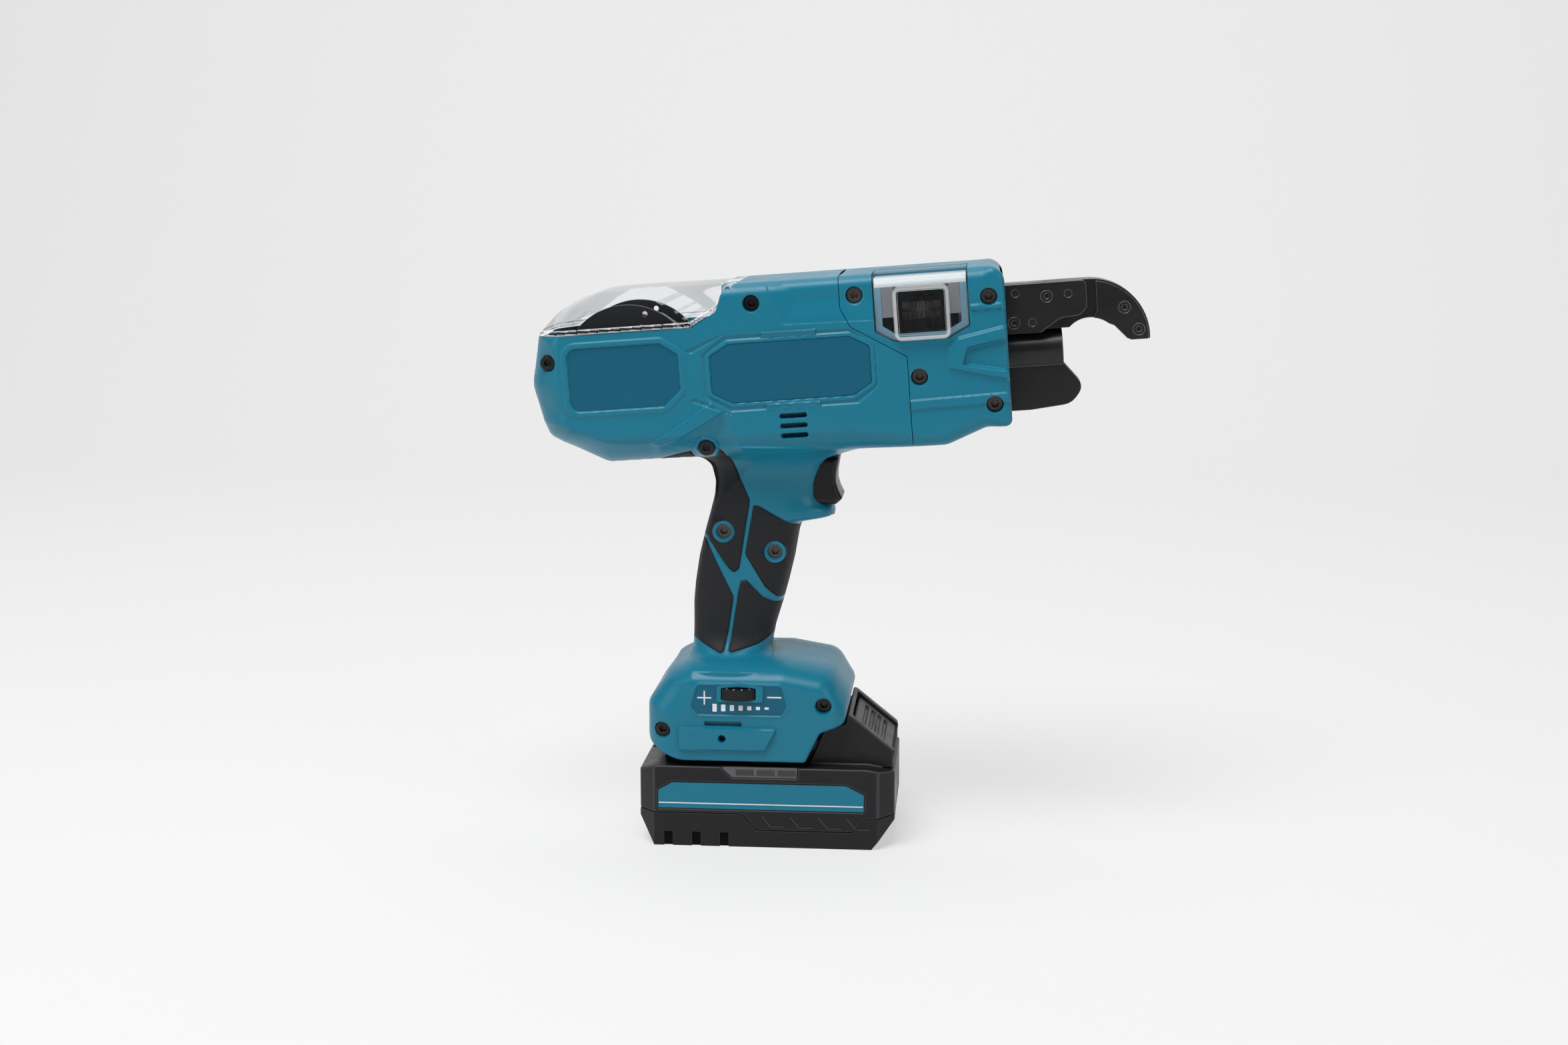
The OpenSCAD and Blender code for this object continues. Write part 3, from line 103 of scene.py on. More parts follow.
class Graph:
    """A node tree that grows node by node."""

    def __init__(self, tree: bpy.types.NodeTree) -> None:
        """Args:
        tree: the tree to add to.
        """
        self.nodes, self.links = tree.nodes, tree.links

    def feed(self, node: bpy.types.Node, inputs: Inputs) -> None:
        """Sets a node's inputs.

        Args:
            node: the node.
            inputs: by name or number, a socket to link from or a plain value.
        """
        for key, value in inputs.items():
            if isinstance(value, Socket):
                self.links.new(value, node.inputs[key])
            else:
                node.inputs[key].default_value = value

    def add(self, kind: str, inputs: Optional[Inputs] = None, operation: str = "") -> bpy.types.Node:
        """Adds a node.

        Args:
            kind: its type.
            inputs: as for feed().
            operation: what a maths node does.

        Returns:
            The node.
        """
        node = self.nodes.new(kind)
        if operation:
            node.operation = operation
        self.feed(node, inputs or {})
        return node

    def noise(self, scale: float, detail: float) -> Socket:
        """Returns the level of a noise that is fixed to the object."""
        place = self.add("ShaderNodeTexCoord").outputs["Object"]
        cloud = self.add("ShaderNodeTexNoise", {"Scale": scale, "Detail": detail, "Vector": place})
        return cloud.outputs["Fac"]

    def blend(self, share: Socket, first: Socket, second: Socket,
              output: str = "Material Output") -> None:
        """Makes the mix of two shaders the tree's surface.

        Args:
            share: the second shader's share.
            first: the first shader.
            second: the second shader.
            output: the output node's name.
        """
        mix = self.add("ShaderNodeMixShader", {0: share, 1: first, 2: second})
        self.feed(self.nodes[output], {"Surface": mix.outputs["Shader"]})


@dataclass(frozen=True)
class Finish:
    """How a surface looks.

    Attributes:
        name: the material's name.
        colour: linear base colour.
        roughness: microfacet roughness.
        metallic: 1 for bare metal.
        specular: dielectric reflection level.
        transmission: 1 for clear plastic.
        grain: strength of a fine bump.
        grain_scale: bumps per metre.
        mottle: share by which the roughness varies.
        haze: share of a clear plastic that is milky.
    """

    name: str
    colour: Colour
    roughness: float
    metallic: float = 0.0
    specular: float = 0.5
    transmission: float = 0.0
    grain: float = 0.0
    grain_scale: float = 2200.0
    mottle: float = 0.0
    haze: float = 0.0

    def material(self) -> bpy.types.Material:
        """Returns the finish's material, made on first use."""
        name = f"{self.name}_look"
        made = bpy.data.materials.get(name)
        if made:
            return made
        made = bpy.data.materials.new(name)
        made.use_nodes = True
        made.diffuse_color = opaque(self.colour)
        graph = Graph(made.node_tree)
        shader = graph.nodes["Principled BSDF"]
        graph.feed(shader, {"Base Color": opaque(self.colour), "Roughness": self.roughness,
                            "Metallic": self.metallic, "Specular IOR Level": self.specular})
        if self.transmission:
            self.clear(graph, shader)
        if self.grain:
            bump = graph.add("ShaderNodeBump", {"Strength": self.grain, "Distance": BUMP_DEPTH,
                                                "Height": graph.noise(self.grain_scale, GRAIN_DETAIL)})
            graph.feed(shader, {"Normal": bump.outputs["Normal"]})
        if self.mottle:
            span = graph.add("ShaderNodeMapRange", {
                "Value": graph.noise(MOTTLE_SCALE, MOTTLE_DETAIL),
                "From Min": MOTTLE_LOW, "From Max": MOTTLE_HIGH,
                "To Min": max(self.roughness - self.mottle, 0.02),
                "To Max": min(self.roughness + self.mottle, 1.0)})
            graph.feed(shader, {"Roughness": span.outputs["Result"]})
        return made

    def clear(self, graph: Graph, shader: bpy.types.ShaderNode) -> None:
        """Lets light through a thin wall, with reflections that grow towards its edges.

        Args:
            graph: the material's tree.
            shader: its surface shader, which gives the reflections and the haze.
        """
        if not self.haze:
            graph.feed(shader, {"Base Color": opaque(GLANCE_TINT)})
        through = graph.add("ShaderNodeBsdfTransparent", {"Color": opaque(self.colour)})
        glance = graph.add("ShaderNodeFresnel", {"IOR": PLASTIC_IOR}).outputs["Fac"]
        parts = {0: glance, 1: self.transmission, 2: self.haze}
        share = graph.add("ShaderNodeMath", parts, "MULTIPLY_ADD")
        share.use_clamp = True
        graph.blend(share.outputs["Value"], through.outputs["BSDF"], shader.outputs["BSDF"])


TEAL = Finish("teal_plastic", (0.006, 0.160, 0.245), 0.34, specular=0.3, grain=0.15, mottle=0.04)
FILM = Finish("label_film", (0.004, 0.094, 0.162), 0.32, specular=0.25)
RUBBER = Finish("grip_rubber", (0.018, 0.0185, 0.021), 0.55, specular=0.15, grain=0.5, grain_scale=1500.0)
CLEAR = Finish("clear_plastic", (0.975, 0.985, 0.99), 0.04, specular=0.6, transmission=0.36)
BLACK = Finish("black_plastic", (0.010, 0.010, 0.011), 0.36, specular=0.25, grain=0.2, mottle=0.06)
GRAPHITE = Finish(
    "graphite_plastic", (0.0125, 0.0125, 0.014), 0.36, specular=0.22, grain=0.25, mottle=0.1)
STEEL = Finish("black_steel", (0.010, 0.010, 0.011), 0.32, specular=0.35, grain=0.12, mottle=0.12)
# Lighter metallic edges on black steel: wear, and a painted highlight.
WORN_HIGHLIGHT = Finish("worn_edge_and_highlight", (0.16, 0.16, 0.163), 0.34, metallic=0.7, mottle=0.12)
SCREW = Finish("dark_screw", (0.10, 0.092, 0.084), 0.34, metallic=0.7)
GEAR = Finish("bronzed_gear", (0.22, 0.19, 0.155), 0.42, metallic=0.5)
# Milky white on the edges of clear parts: a painted highlight.
EDGE_HIGHLIGHT = Finish("clear_edge_highlight", (0.93, 0.95, 0.96), 0.08, specular=0.7, transmission=0.5, haze=0.42)
FROST = Finish("frosted_margin", (0.20, 0.36, 0.46), 0.30, specular=0.3)
PANEL = Finish("grey_panel", (0.25, 0.25, 0.265), 0.40, specular=0.3)
# A light grey sheet in the window's top bend: a painted highlight.
PALE_HIGHLIGHT = Finish("highlight_panel", (0.60, 0.63, 0.66), 0.40, specular=0.3)
# Lighter edges on the dark battery mouldings: rubbing, and a painted highlight.
RUBBED_HIGHLIGHT = Finish("rubbed_edge_and_highlight", (0.034, 0.034, 0.037), 0.42, specular=0.3)
DEEP = Finish("deep_shade", (0.002, 0.002, 0.002), 0.6, specular=0.1)
BRIGHT = Finish("bright_steel", (0.55, 0.55, 0.56), 0.28, metallic=1.0, mottle=0.08)
ALLOY = Finish("cast_alloy", (0.45, 0.46, 0.48), 0.45, metallic=1.0, grain=0.3)
BRASS = Finish("brass", (0.60, 0.42, 0.16), 0.3, metallic=1.0)
BOARD = Finish("circuit_board", (0.015, 0.10, 0.04), 0.35)
WIRE = Finish("tie_wire", (0.38, 0.38, 0.39), 0.35, metallic=1.0)
LENS = Finish("grey_lens", (0.105, 0.106, 0.108), 0.30, specular=0.2)
CELLS = Finish("cell_wrap", (0.03, 0.10, 0.26), 0.3)
MOTOR = Finish("painted_motor", (0.03, 0.03, 0.033), 0.4)
PRINT = Finish("white_print", (0.70, 0.74, 0.76), 0.5, specular=0.2)
SEGMENT = Finish("gauge_segment", (0.050, 0.050, 0.052), 0.45, specular=0.2)
FINISHES = {f.name: f for f in (
    TEAL, FILM, RUBBER, CLEAR, BLACK, GRAPHITE, STEEL, BRIGHT, ALLOY, BRASS, BOARD, WIRE, LENS, CELLS,
    MOTOR)}


def smooth(low: float, high: float, x: np.ndarray) -> np.ndarray:
    """Returns a smooth step of x, from 0 at low to 1 at high."""
    t = np.clip((x - low) / (high - low), 0.0, 1.0)
    return t * t * (3.0 - 2.0 * t)


def smooth_max(a: np.ndarray, b: np.ndarray, reach: float) -> np.ndarray:
    """Returns the greater of a and b, with a fillet of that reach where they meet."""
    h = np.maximum(reach - np.abs(a - b), 0.0)
    return np.maximum(a, b) + h * h / (4.0 * reach)


def barrel(points: Sequence[Sequence[float]]) -> list[tuple[float, ...]]:
    """Turns points of the barrel's frame into the side plane.

    Args:
        points: (u, w) or (u, w, corner radius).

    Returns:
        The points as (x, z) with anything after them kept.
    """
    c, s = math.cos(TILT), math.sin(TILT)
    return [(p[0] * c - p[1] * s, BARREL_Z + p[0] * s + p[1] * c, *p[2:]) for p in points]


def along(at: np.ndarray) -> tuple[np.ndarray, np.ndarray]:
    """Returns the barrel's own (u, w) for points of the side plane."""
    c, s = math.cos(TILT), math.sin(TILT)
    x, z = at[:, 0], at[:, 1] - BARREL_Z
    return x * c + z * s, z * c - x * s


def rounded(corners: Sequence[Sequence[float]], arc: float = 9.0) -> np.ndarray:
    """Rounds a polygon's corners.

    Args:
        corners: (x, z) or (x, z, radius).
        arc: degrees between points of an arc.

    Returns:
        The outline's points.
    """
    spots = np.array([c[:2] for c in corners], float)
    made = []
    for i, corner in enumerate(corners):
        here = spots[i]
        before, after = spots[i - 1] - here, spots[(i + 1) % len(spots)] - here
        near, next_ = np.linalg.norm(before), np.linalg.norm(after)
        before, after = before / near, after / next_
        half = 0.5 * math.acos(float(np.clip(before @ after, -1, 1)))
        radius = corner[2] if len(corner) > 2 else 0.0
        if radius < 0.05 or half > math.pi / 2 - 0.02:
            made.append(here)
            continue
        reach = min(radius / math.tan(half), 0.49 * near, 0.49 * next_)
        radius = reach * math.tan(half)
        centre = here + (before + after) / np.linalg.norm(before + after) * radius / math.sin(half)
        first, last = here + before * reach - centre, here + after * reach - centre
        start, end = math.atan2(first[1], first[0]), math.atan2(last[1], last[0])
        sweep = (end - start + math.pi) % (2 * math.pi) - math.pi
        count = max(2, math.ceil(abs(math.degrees(sweep)) / arc) + 1)
        for t in np.linspace(start, start + sweep, count):
            made.append(centre + radius * np.array([math.cos(t), math.sin(t)]))
    return np.array(made)


class Outline:
    """A closed outline in the side plane, with signed distances."""

    def __init__(self, points: Sequence[Sequence[float]]) -> None:
        """Args:
        points: (x, z) in millimetres, or (x, z, radius) for corners to round.
        """
        self.points = rounded(points) if len(points[0]) > 2 else np.asarray(points, float)
        self.low, self.high = self.points.min(axis=0), self.points.max(axis=0)

    def __call__(self, at: np.ndarray) -> np.ndarray:
        """Returns the signed distance of each point, positive inside."""
        best = np.full(len(at), FAR * FAR)
        inside = np.zeros(len(at), bool)
        for p, q in zip(self.points, np.roll(self.points, -1, axis=0)):
            way = q - p
            length = way @ way
            if length < 1e-12:
                continue
            t = np.clip(((at - p) @ way) / length, 0.0, 1.0)
            gap = at - p - t[:, None] * way
            best = np.minimum(best, (gap * gap).sum(axis=1))
            if way[1]:
                crosses = (p[1] > at[:, 1]) != (q[1] > at[:, 1])
                inside ^= crosses & (at[:, 0] < p[0] + (at[:, 1] - p[1]) * way[0] / way[1])
        return np.where(inside, 1.0, -1.0) * np.sqrt(best)

    def near(self, at: np.ndarray, reach: float) -> np.ndarray:
        """Returns the points within reach of the outline's box."""
        return ((at > self.low - reach) & (at < self.high + reach)).all(axis=1)


def flank(*points: Sequence[float]) -> Outline:
    """Returns an outline whose points are given in the barrel's frame."""
    return Outline(barrel(points))


def circle(x: float, z: float, radius: float) -> Outline:
    """Returns a round outline."""
    turn = np.linspace(0, 2 * math.pi, 40, endpoint=False)
    return Outline(np.stack([x + radius * np.cos(turn), z + radius * np.sin(turn)], axis=1))


def raised(height: float, slope: float) -> Field:
    """Returns a profile that steps by height over the slope inside an outline."""
    return lambda d: height * smooth(0.0, slope, d)


def bore(depth: float) -> Field:
    """Returns the profile of a hole with a small lead."""
    return lambda d: -depth * np.clip((d - 0.05) / 0.35, 0, 1) - 0.25 * smooth(-0.6, 0.05, d)


def rim(height: float, width: float, slope: float) -> Field:
    """Returns the profile of a rounded band round the outside of an outline."""
    return lambda d: height * smooth(-width - slope, -width, d) * (1 - smooth(-slope * 0.6, 0.0, d))


def fall(rate: float, most: float) -> Field:
    """Returns a profile that falls away inside an outline, up to a depth."""
    return lambda d: -most * (1.0 - np.exp(-np.maximum(d, 0.0) * rate / most))


def top_fall(d: np.ndarray) -> np.ndarray:
    """Returns the profile of the barrel's top panel: a small step, then a slow fall."""
    return -1.5 * smooth(0.0, 12.0, d) - 0.35 * smooth(0.0, 0.8, d)


def pad_swell(d: np.ndarray) -> np.ndarray:
    """Returns the profile of a rubber pad: a groove round it and a swollen face."""
    return 0.35 * smooth(0.1, 0.8, d) - 0.45 * np.exp(-((d / 0.4) ** 2))


def no_turn(at: np.ndarray) -> np.ndarray:
    """Returns how far a straight rim goes on outwards: nowhere."""
    return np.zeros(len(at))


def gradient(levels: Field, at: np.ndarray, reach: float) -> np.ndarray:
    """Returns a field's slope at points, from its change over a reach to either side."""
    return np.stack([levels(at + e) - levels(at - e) for e in np.eye(2) * reach], axis=1) / (2 * reach)


@dataclass(frozen=True)
class Feature:
    """A raised or sunken part of a moulded side.

    Attributes:
        outline: where it is.
        profile: how the height changes with the distance inside the outline.
        reach: how far outside the outline the profile works.
    """

    outline: Outline
    profile: Field
    reach: float = 4.0


BARREL = flank(
    (-74, -36, 8), (76, -36, 10), (93, -29.4, 8), (104.4, -29.2, 3), (104.4, 39.5, 7), (-74.5, 39.4, 30),
    (-91, 32, 12), (-99.6, 23.4, 3), (-105, 1, 14), (-99, -22.5, 6))
NOSE = flank((34, FAR), (34, 26.2), (38, 17.8), (61.4, 3.6), (61.4, -FAR), (FAR, -FAR), (FAR, FAR))
COVER = flank((-FAR, 22.3), (-30.5, 22.3), (-19.5, 28.5), (-16.4, 36.2), (-16.4, FAR), (-FAR, FAR))
FOOT = Outline([
    (-40, 39, 14), (17.5, 39, 2), (24, 52.5, 3), (34.5, 56.5, 4), (37, 67, 6), (29, 79.4, 10),
    (8, 83, 12), (-34, 83, 4), (-44.5, 77.5, 10), (-55, 64, 8), (-55, 48, 10)])
FOOT_BACK = Outline([
    (-53.5, 0, 0), (-53.5, 64, 8), (-45.5, 75, 8), (-43, 160, 0), (FAR, 160, 0), (FAR, 0, 0)])
STATIONS = np.array([
    (0, -37, 1, 1.06), (0.06, -35.6, -0.2, 1), (0.15, -35.4, 1.4, 0.96), (0.27, -35.4, 5, 0.95),
    (0.36, -34.6, 7.4, 0.96), (0.48, -32.8, 10.2, 0.97), (0.6, -30, 12.2, 0.98),
    (0.645, -28.8, 13.6, 0.98), (0.66, -28.4, 17.5, 0.98), (0.67, -28.1, 28.3, 0.98),
    (0.715, -27, 28.3, 0.98), (0.728, -26.6, 25.6, 0.98), (0.77, -25.7, 22.6, 0.98),
    (0.83, -25.3, 22.4, 0.98), (0.9, -27, 24.4, 1), (0.95, -31.5, 30, 1.04), (0.98, -38, 35, 1.1),
    (1.02, -52, 42, 1.16)])
HANDLE_FOOT, HANDLE_RISE, HANDLE_HALF, HANDLE_POWER = 79.0, 98.0, 17.5, 2.7
HANDLE_FLARES = ((9.0, 94.0, -13.0), (7.0, 162.0, 14.0))
EASE_SAMPLES, EASE_REACH, EASE_SPREAD = 600, 12, 4.0
STATION_Z = HANDLE_FOOT + HANDLE_RISE * STATIONS[:, 0]
HANDLE = Outline(np.concatenate([np.stack([STATIONS[:, 1], STATION_Z], axis=1),
                                 np.stack([STATIONS[::-1, 2], STATION_Z[::-1]], axis=1)]))
TRIGGER_GAP = Outline([
    (44, 177.6), (39.9, 175.9), (31.6, 174.1), (25.4, 172.4), (22.1, 169), (20.5, 162.8), (20.5, 156.9),
    (22.2, 153.4), (25.1, 151.1), (29.4, 151.2), (60, 151.2), (60, 177.6)])
REAR_LABEL = flank(
    (-85.4, -10.9, 4), (-44.6, -10.9, 1), (-37, -4.2, 1), (-37, 11.1, 1), (-44.6, 16.4, 1),
    (-85.4, 16.4, 4))
SIDE_LABEL = flank(
    (-15, -11.3, 1), (37.3, -11.3, 1), (45.4, -6.4, 1), (45.4, 9.2, 1), (37, 13.8, 1), (-15, 13.8, 1),
    (-23.3, 9.2, 1), (-23.3, -6.6, 1))
SIDE_FRAME = flank(
    (-16.6, 18, 1), (37.5, 17.6, 1), (48.6, 10, 1), (48.6, -8.5, 1), (39.5, -15.4, 1), (-16, -15.6, 1),
    (-27.6, -8.6, 1), (-27.6, 10.2, 1))
PADS = [
    Outline([
        (-49.9, 171.3), (-40.3, 174.6), (-33.2, 176.5), (-32.4, 173.8), (-29.9, 171.9), (-25.3, 172.6),
        (-23.6, 175.6), (-24.9, 178.1), (-21.5, 178.8), (-18.6, 176), (-15.4, 168.6), (-8.7, 153.6),
        (-8.9, 151.1), (-13.4, 122.4), (-15.9, 120.6), (-18, 122.3), (-28.4, 136.1), (-48, 137),
        (-62, 166)]),
    Outline([
        (-6.9, 151), (-4.6, 150.7), (6.2, 144.6), (10.4, 142.1), (13.9, 141.6), (30, 141.0), (30, 108.3),
        (6.2, 108.3), (2.9, 109.1), (-2.1, 114.1), (-10.1, 127.9), (-10.6, 129.6)]),
    Outline([
        (-28.9, 135.0), (-25.5, 128.5), (-16.2, 110), (-16.2, 107.9), (-18.1, 95), (-20, 85.4),
        (-21.6, 84.7), (-32.9, 89.2), (-48, 92), (-48, 135.9)]),
    Outline([
        (-12.6, 116.7), (-10.1, 117.1), (-3, 109.4), (2, 106.7), (5.4, 106.6), (25, 106.6), (25, 91.1),
        (0.3, 91.1), (-4.7, 88.3), (-16.5, 85), (-17.9, 85.8), (-13.9, 111.3)]),
]
HANDLE_RINGS = [circle(-20.5, 138.8, 4.9), circle(2.4, 130.0, 4.9)]
RING_FACE, RING_WIDTH, RING_DEPTH = 15.6, 1.6, 7.0
BARREL_EDGE, TAIL_EDGE, FRONT_EDGE = 6.0, 12.0, 2.5
FOOT_EDGE, FOOT_BACK_EDGE, FOOT_FRONT, FOOT_TAPER = 1.5, 14.0, 30.5, 0.55
CROWN_EDGE, CROWN_REACH = 8.0, 1.1
OUTER_SLOPE = 5.0
NECK_FILLET = 12.0
UNDERSIDE, UNDER_FRONT, UNDER_REAR = (-12, -30), (70, 30), (-20, -50)
TAIL_END, MOUTH, CROWN = (-78, -98), (94, 101), (56, 70)
SEAM_REACH, LIP_REACH, CUT_REACH = 0.5, 0.8, 0.3
FOOT_LOW, MOUTH_X = 46.0, 100.0
BORE_R = 3.7
TAIL_RING, TAIL_RING_R = (-28.4, -30.6), 5.6
DIAL_BAY = Outline([(-22.0, 66.85), (-2.0, 66.85), (-2.0, 72.75), (-22.0, 72.75)])
DIAL_PANEL = Outline([
    (-30, 60.3, 2), (7, 60.3, 1), (9.5, 64.5, 2), (7, 73.5, 2), (-30.3, 73.5, 2), (-33, 63.7, 2)])
BEZEL = Outline([
    (-21.6, 73.5, 0.8), (-11.7, 74.9, 6), (-0.8, 73.6, 0.8), (-1, 66.3, 0.8), (-21.7, 66.3, 0.8)])
DIAL_SLOT = Outline([
    (-19.6, 72.7, 0.5), (-11.9, 73.4, 8), (-4.2, 72.7, 0.5), (-4.2, 67.4, 0.5), (-19.6, 67.1, 0.5)])
VENTS = [flank(*((10.8 + a * 6, w + b * 1.15, 1.1) for a, b in ((-1, -1), (1, -1), (1, 1), (-1, 1))))
         for w in (-18.5, -22.8, -27.1)]


def disc(spot: tuple[float, float], radius: float) -> Outline:
    """Returns a round outline at a spot of the barrel's frame."""
    x, z = barrel([spot])[0]
    return circle(x, z, radius)


def handle_half(at: np.ndarray) -> np.ndarray:
    """Returns the handle's half width at points of the side plane."""
    z = np.linspace(STATION_Z[0] - 8, STATION_Z[-1] + 4, EASE_SAMPLES)
    soft = np.exp(-0.5 * (np.arange(-EASE_REACH, EASE_REACH + 1) / EASE_SPREAD) ** 2)
    soft /= soft.sum()

    def eased(column: int) -> np.ndarray:
        """Returns a column of the stations, smoothed over z."""
        raw = np.interp(z, STATION_Z, STATIONS[:, column])
        return np.convolve(np.pad(raw, EASE_REACH, mode="edge"), soft, mode="valid")

    rear = np.interp(at[:, 1], z, eased(1))
    front = np.interp(at[:, 1], z, eased(2))
    width = HANDLE_HALF * np.interp(at[:, 1], z, eased(3))
    for most, start, run in HANDLE_FLARES:
        width += most * np.clip((at[:, 1] - start) / run, 0, 1.2) ** 2
    t = np.abs(2 * at[:, 0] - rear - front) / (front - rear)
    inner = width * np.maximum(1 - np.minimum(t, 1) ** HANDLE_POWER, 0) ** (1 / HANDLE_POWER)
    past = np.maximum(np.maximum(at[:, 1] - STATION_Z[-1], STATION_Z[0] - at[:, 1]), 0)
    return np.where(t < 1, inner, -(t - 1) * 40.0) - 4.0 * past


def edge(d: np.ndarray, half: float, radius: np.ndarray, slope: float, crown: float = 1.0) -> np.ndarray:
    """Returns the half width of a slab with rounded edges.

    Args:
        d: distance inside the slab's outline.
        half: the slab's half width.
        radius: the edge's radius at each point.
        slope: how the width falls outside the outline.
        crown: how many times as far the edge reaches across the slab as along it.

    Returns:
        The half width at each point.
    """
    inner = np.sqrt(np.maximum(radius**2 - np.maximum(radius - np.maximum(d, 0), 0) ** 2, 0))
    return half + crown * (inner - radius) + slope * np.minimum(d, 0)


def barrel_half(at: np.ndarray) -> np.ndarray:
    """Returns the barrel's half width at points of the side plane."""
    u, w = along(at)
    low = smooth(*UNDERSIDE, w) * (0.55 * smooth(*UNDER_FRONT, u) + 0.45 * smooth(*UNDER_REAR, u))
    tail = smooth(*TAIL_END, u)
    front = smooth(*MOUTH, u)
    radius = (BARREL_EDGE + TAIL_EDGE * np.maximum(low, tail)) * (1 - front) + FRONT_EDGE * front
    return edge(BARREL(at), HALF_WIDTH, radius, OUTER_SLOPE)


def foot_half(at: np.ndarray) -> np.ndarray:
    """Returns the foot's half width at points of the side plane."""
    top = smooth(*CROWN, at[:, 1])
    half = edge(FOOT(at), FOOT_HALF, FOOT_EDGE + CROWN_EDGE * top, OUTER_SLOPE, 1.0 + CROWN_REACH * top)
    half -= FOOT_TAPER * np.maximum(at[:, 0] - FOOT_FRONT, 0)
    back = edge(FOOT_BACK(at), FOOT_HALF, np.full(len(at), FOOT_BACK_EDGE), 1.5)
    return np.minimum(half, back)


def body_half(at: np.ndarray) -> np.ndarray:
    """Returns the half width of barrel, handle and foot, blended into each other."""
    upper = smooth_max(barrel_half(at), handle_half(at), NECK_FILLET)
    return smooth_max(upper, foot_half(at), NECK_FILLET)


LEAF = flank(
    (-110, -13.2), (-95.3, -15.6), (-90.3, -15.9), (-83.5, -18.9), (-75.8, -23.4), (-68.9, -25.9),
    (-60.9, -26.7), (-52.8, -26.4), (-49, -28.7), (-38.6, -25.3), (-28.2, -20), (-18.7, -14.8),
    (-10, -40), (-30, -60), (-110, -60))
TAIL_BAND = flank(
    (-24.4, -10.2), (-33.9, -16.1), (-44.4, -22.4), (-49.7, -25.1), (-52.8, -26.8), (-49, -28.7),
    (-38.6, -25.3), (-28.2, -20), (-18.7, -14.8))
REAR_FACET = flank(
    (-95, 22.3), (-89, 14), (-89.9, 5.1), (-88.9, -6), (-86.3, -11.7), (-90.3, -15.9), (-130, -15),
    (-130, 24))
TOP_PANEL = flank((0.5, 44), (8.8, 20.4), (60, 19.3), (60, 44))
TABS = [flank((-0.8, 18.4), (23.4, 18.3), (23.2, 15.6), (-0.9, 15.7)),
        flank((-0.6, -12.5), (23.4, -12.7), (23.2, -15.3), (-0.8, -15.4))]
SIDE_WINGS = [flank((-31.2, 10.6), (-16.6, 18), (-14.6, 19.6), (-34.5, 12.6)),
              flank((-31.2, -7.8), (-15.8, -15.8), (-14.6, -17.4), (-34.5, -9.4))]
NOSE_RIDGE = flank((89, 24.2), (110, 24.2), (110, 21.1), (89, 21.1))
NOSE_VEE = flank((110, 15.8), (83.2, 10.7), (78.5, 6.7), (77.9, -3.1), (92.1, -6.8), (110, -11.2))
NOSE_POCKET = flank((110, 10.6), (86.9, 6.3), (84.2, -1.9), (110, -7.2))
NOSE_BAND = flank(
    (52.6, -7.8), (49.2, -10.5), (60.3, -14.9), (110, -13.8), (110, -18.6), (59.5, -19.9), (47.2, -14.6),
    (43.0, -13.4))
WINDOW = flank(
    (56.4, 10.4, 1), (79.6, 10.4, 1), (88.8, 15, 1), (88.8, 60, 0), (48.4, 60, 0), (48.4, 15, 1))
HOOK_PLATE = Outline([(-38.9, 54.9, 1), (5.5, 54.7, 1), (0.1, 44.5, 1.5), (-38.7, 44, 1.5)])
HOOK_SLOT = Outline([(-27.1, 57.2, 0.6), (-10.5, 57.2, 0.6), (-10.5, 55, 0.6), (-27.1, 55, 0.6)])


DOME_PANEL = flank(
    (-91, 25.3), (-82.9, 27.1), (-73.2, 33.6), (-65.9, 37.1), (-50.2, 37.7), (-37.3, 29.7), (-29.4, 22.5),
    (-23.9, 19.3), (-24, 0), (-100, 0), (-99, 24))
DOME_RIM = flank((-110, 10), (-110, 24.6), (-31, 24.6), (-20.5, 30.2), (-17.5, 37), (-10, 37), (-10, 10))


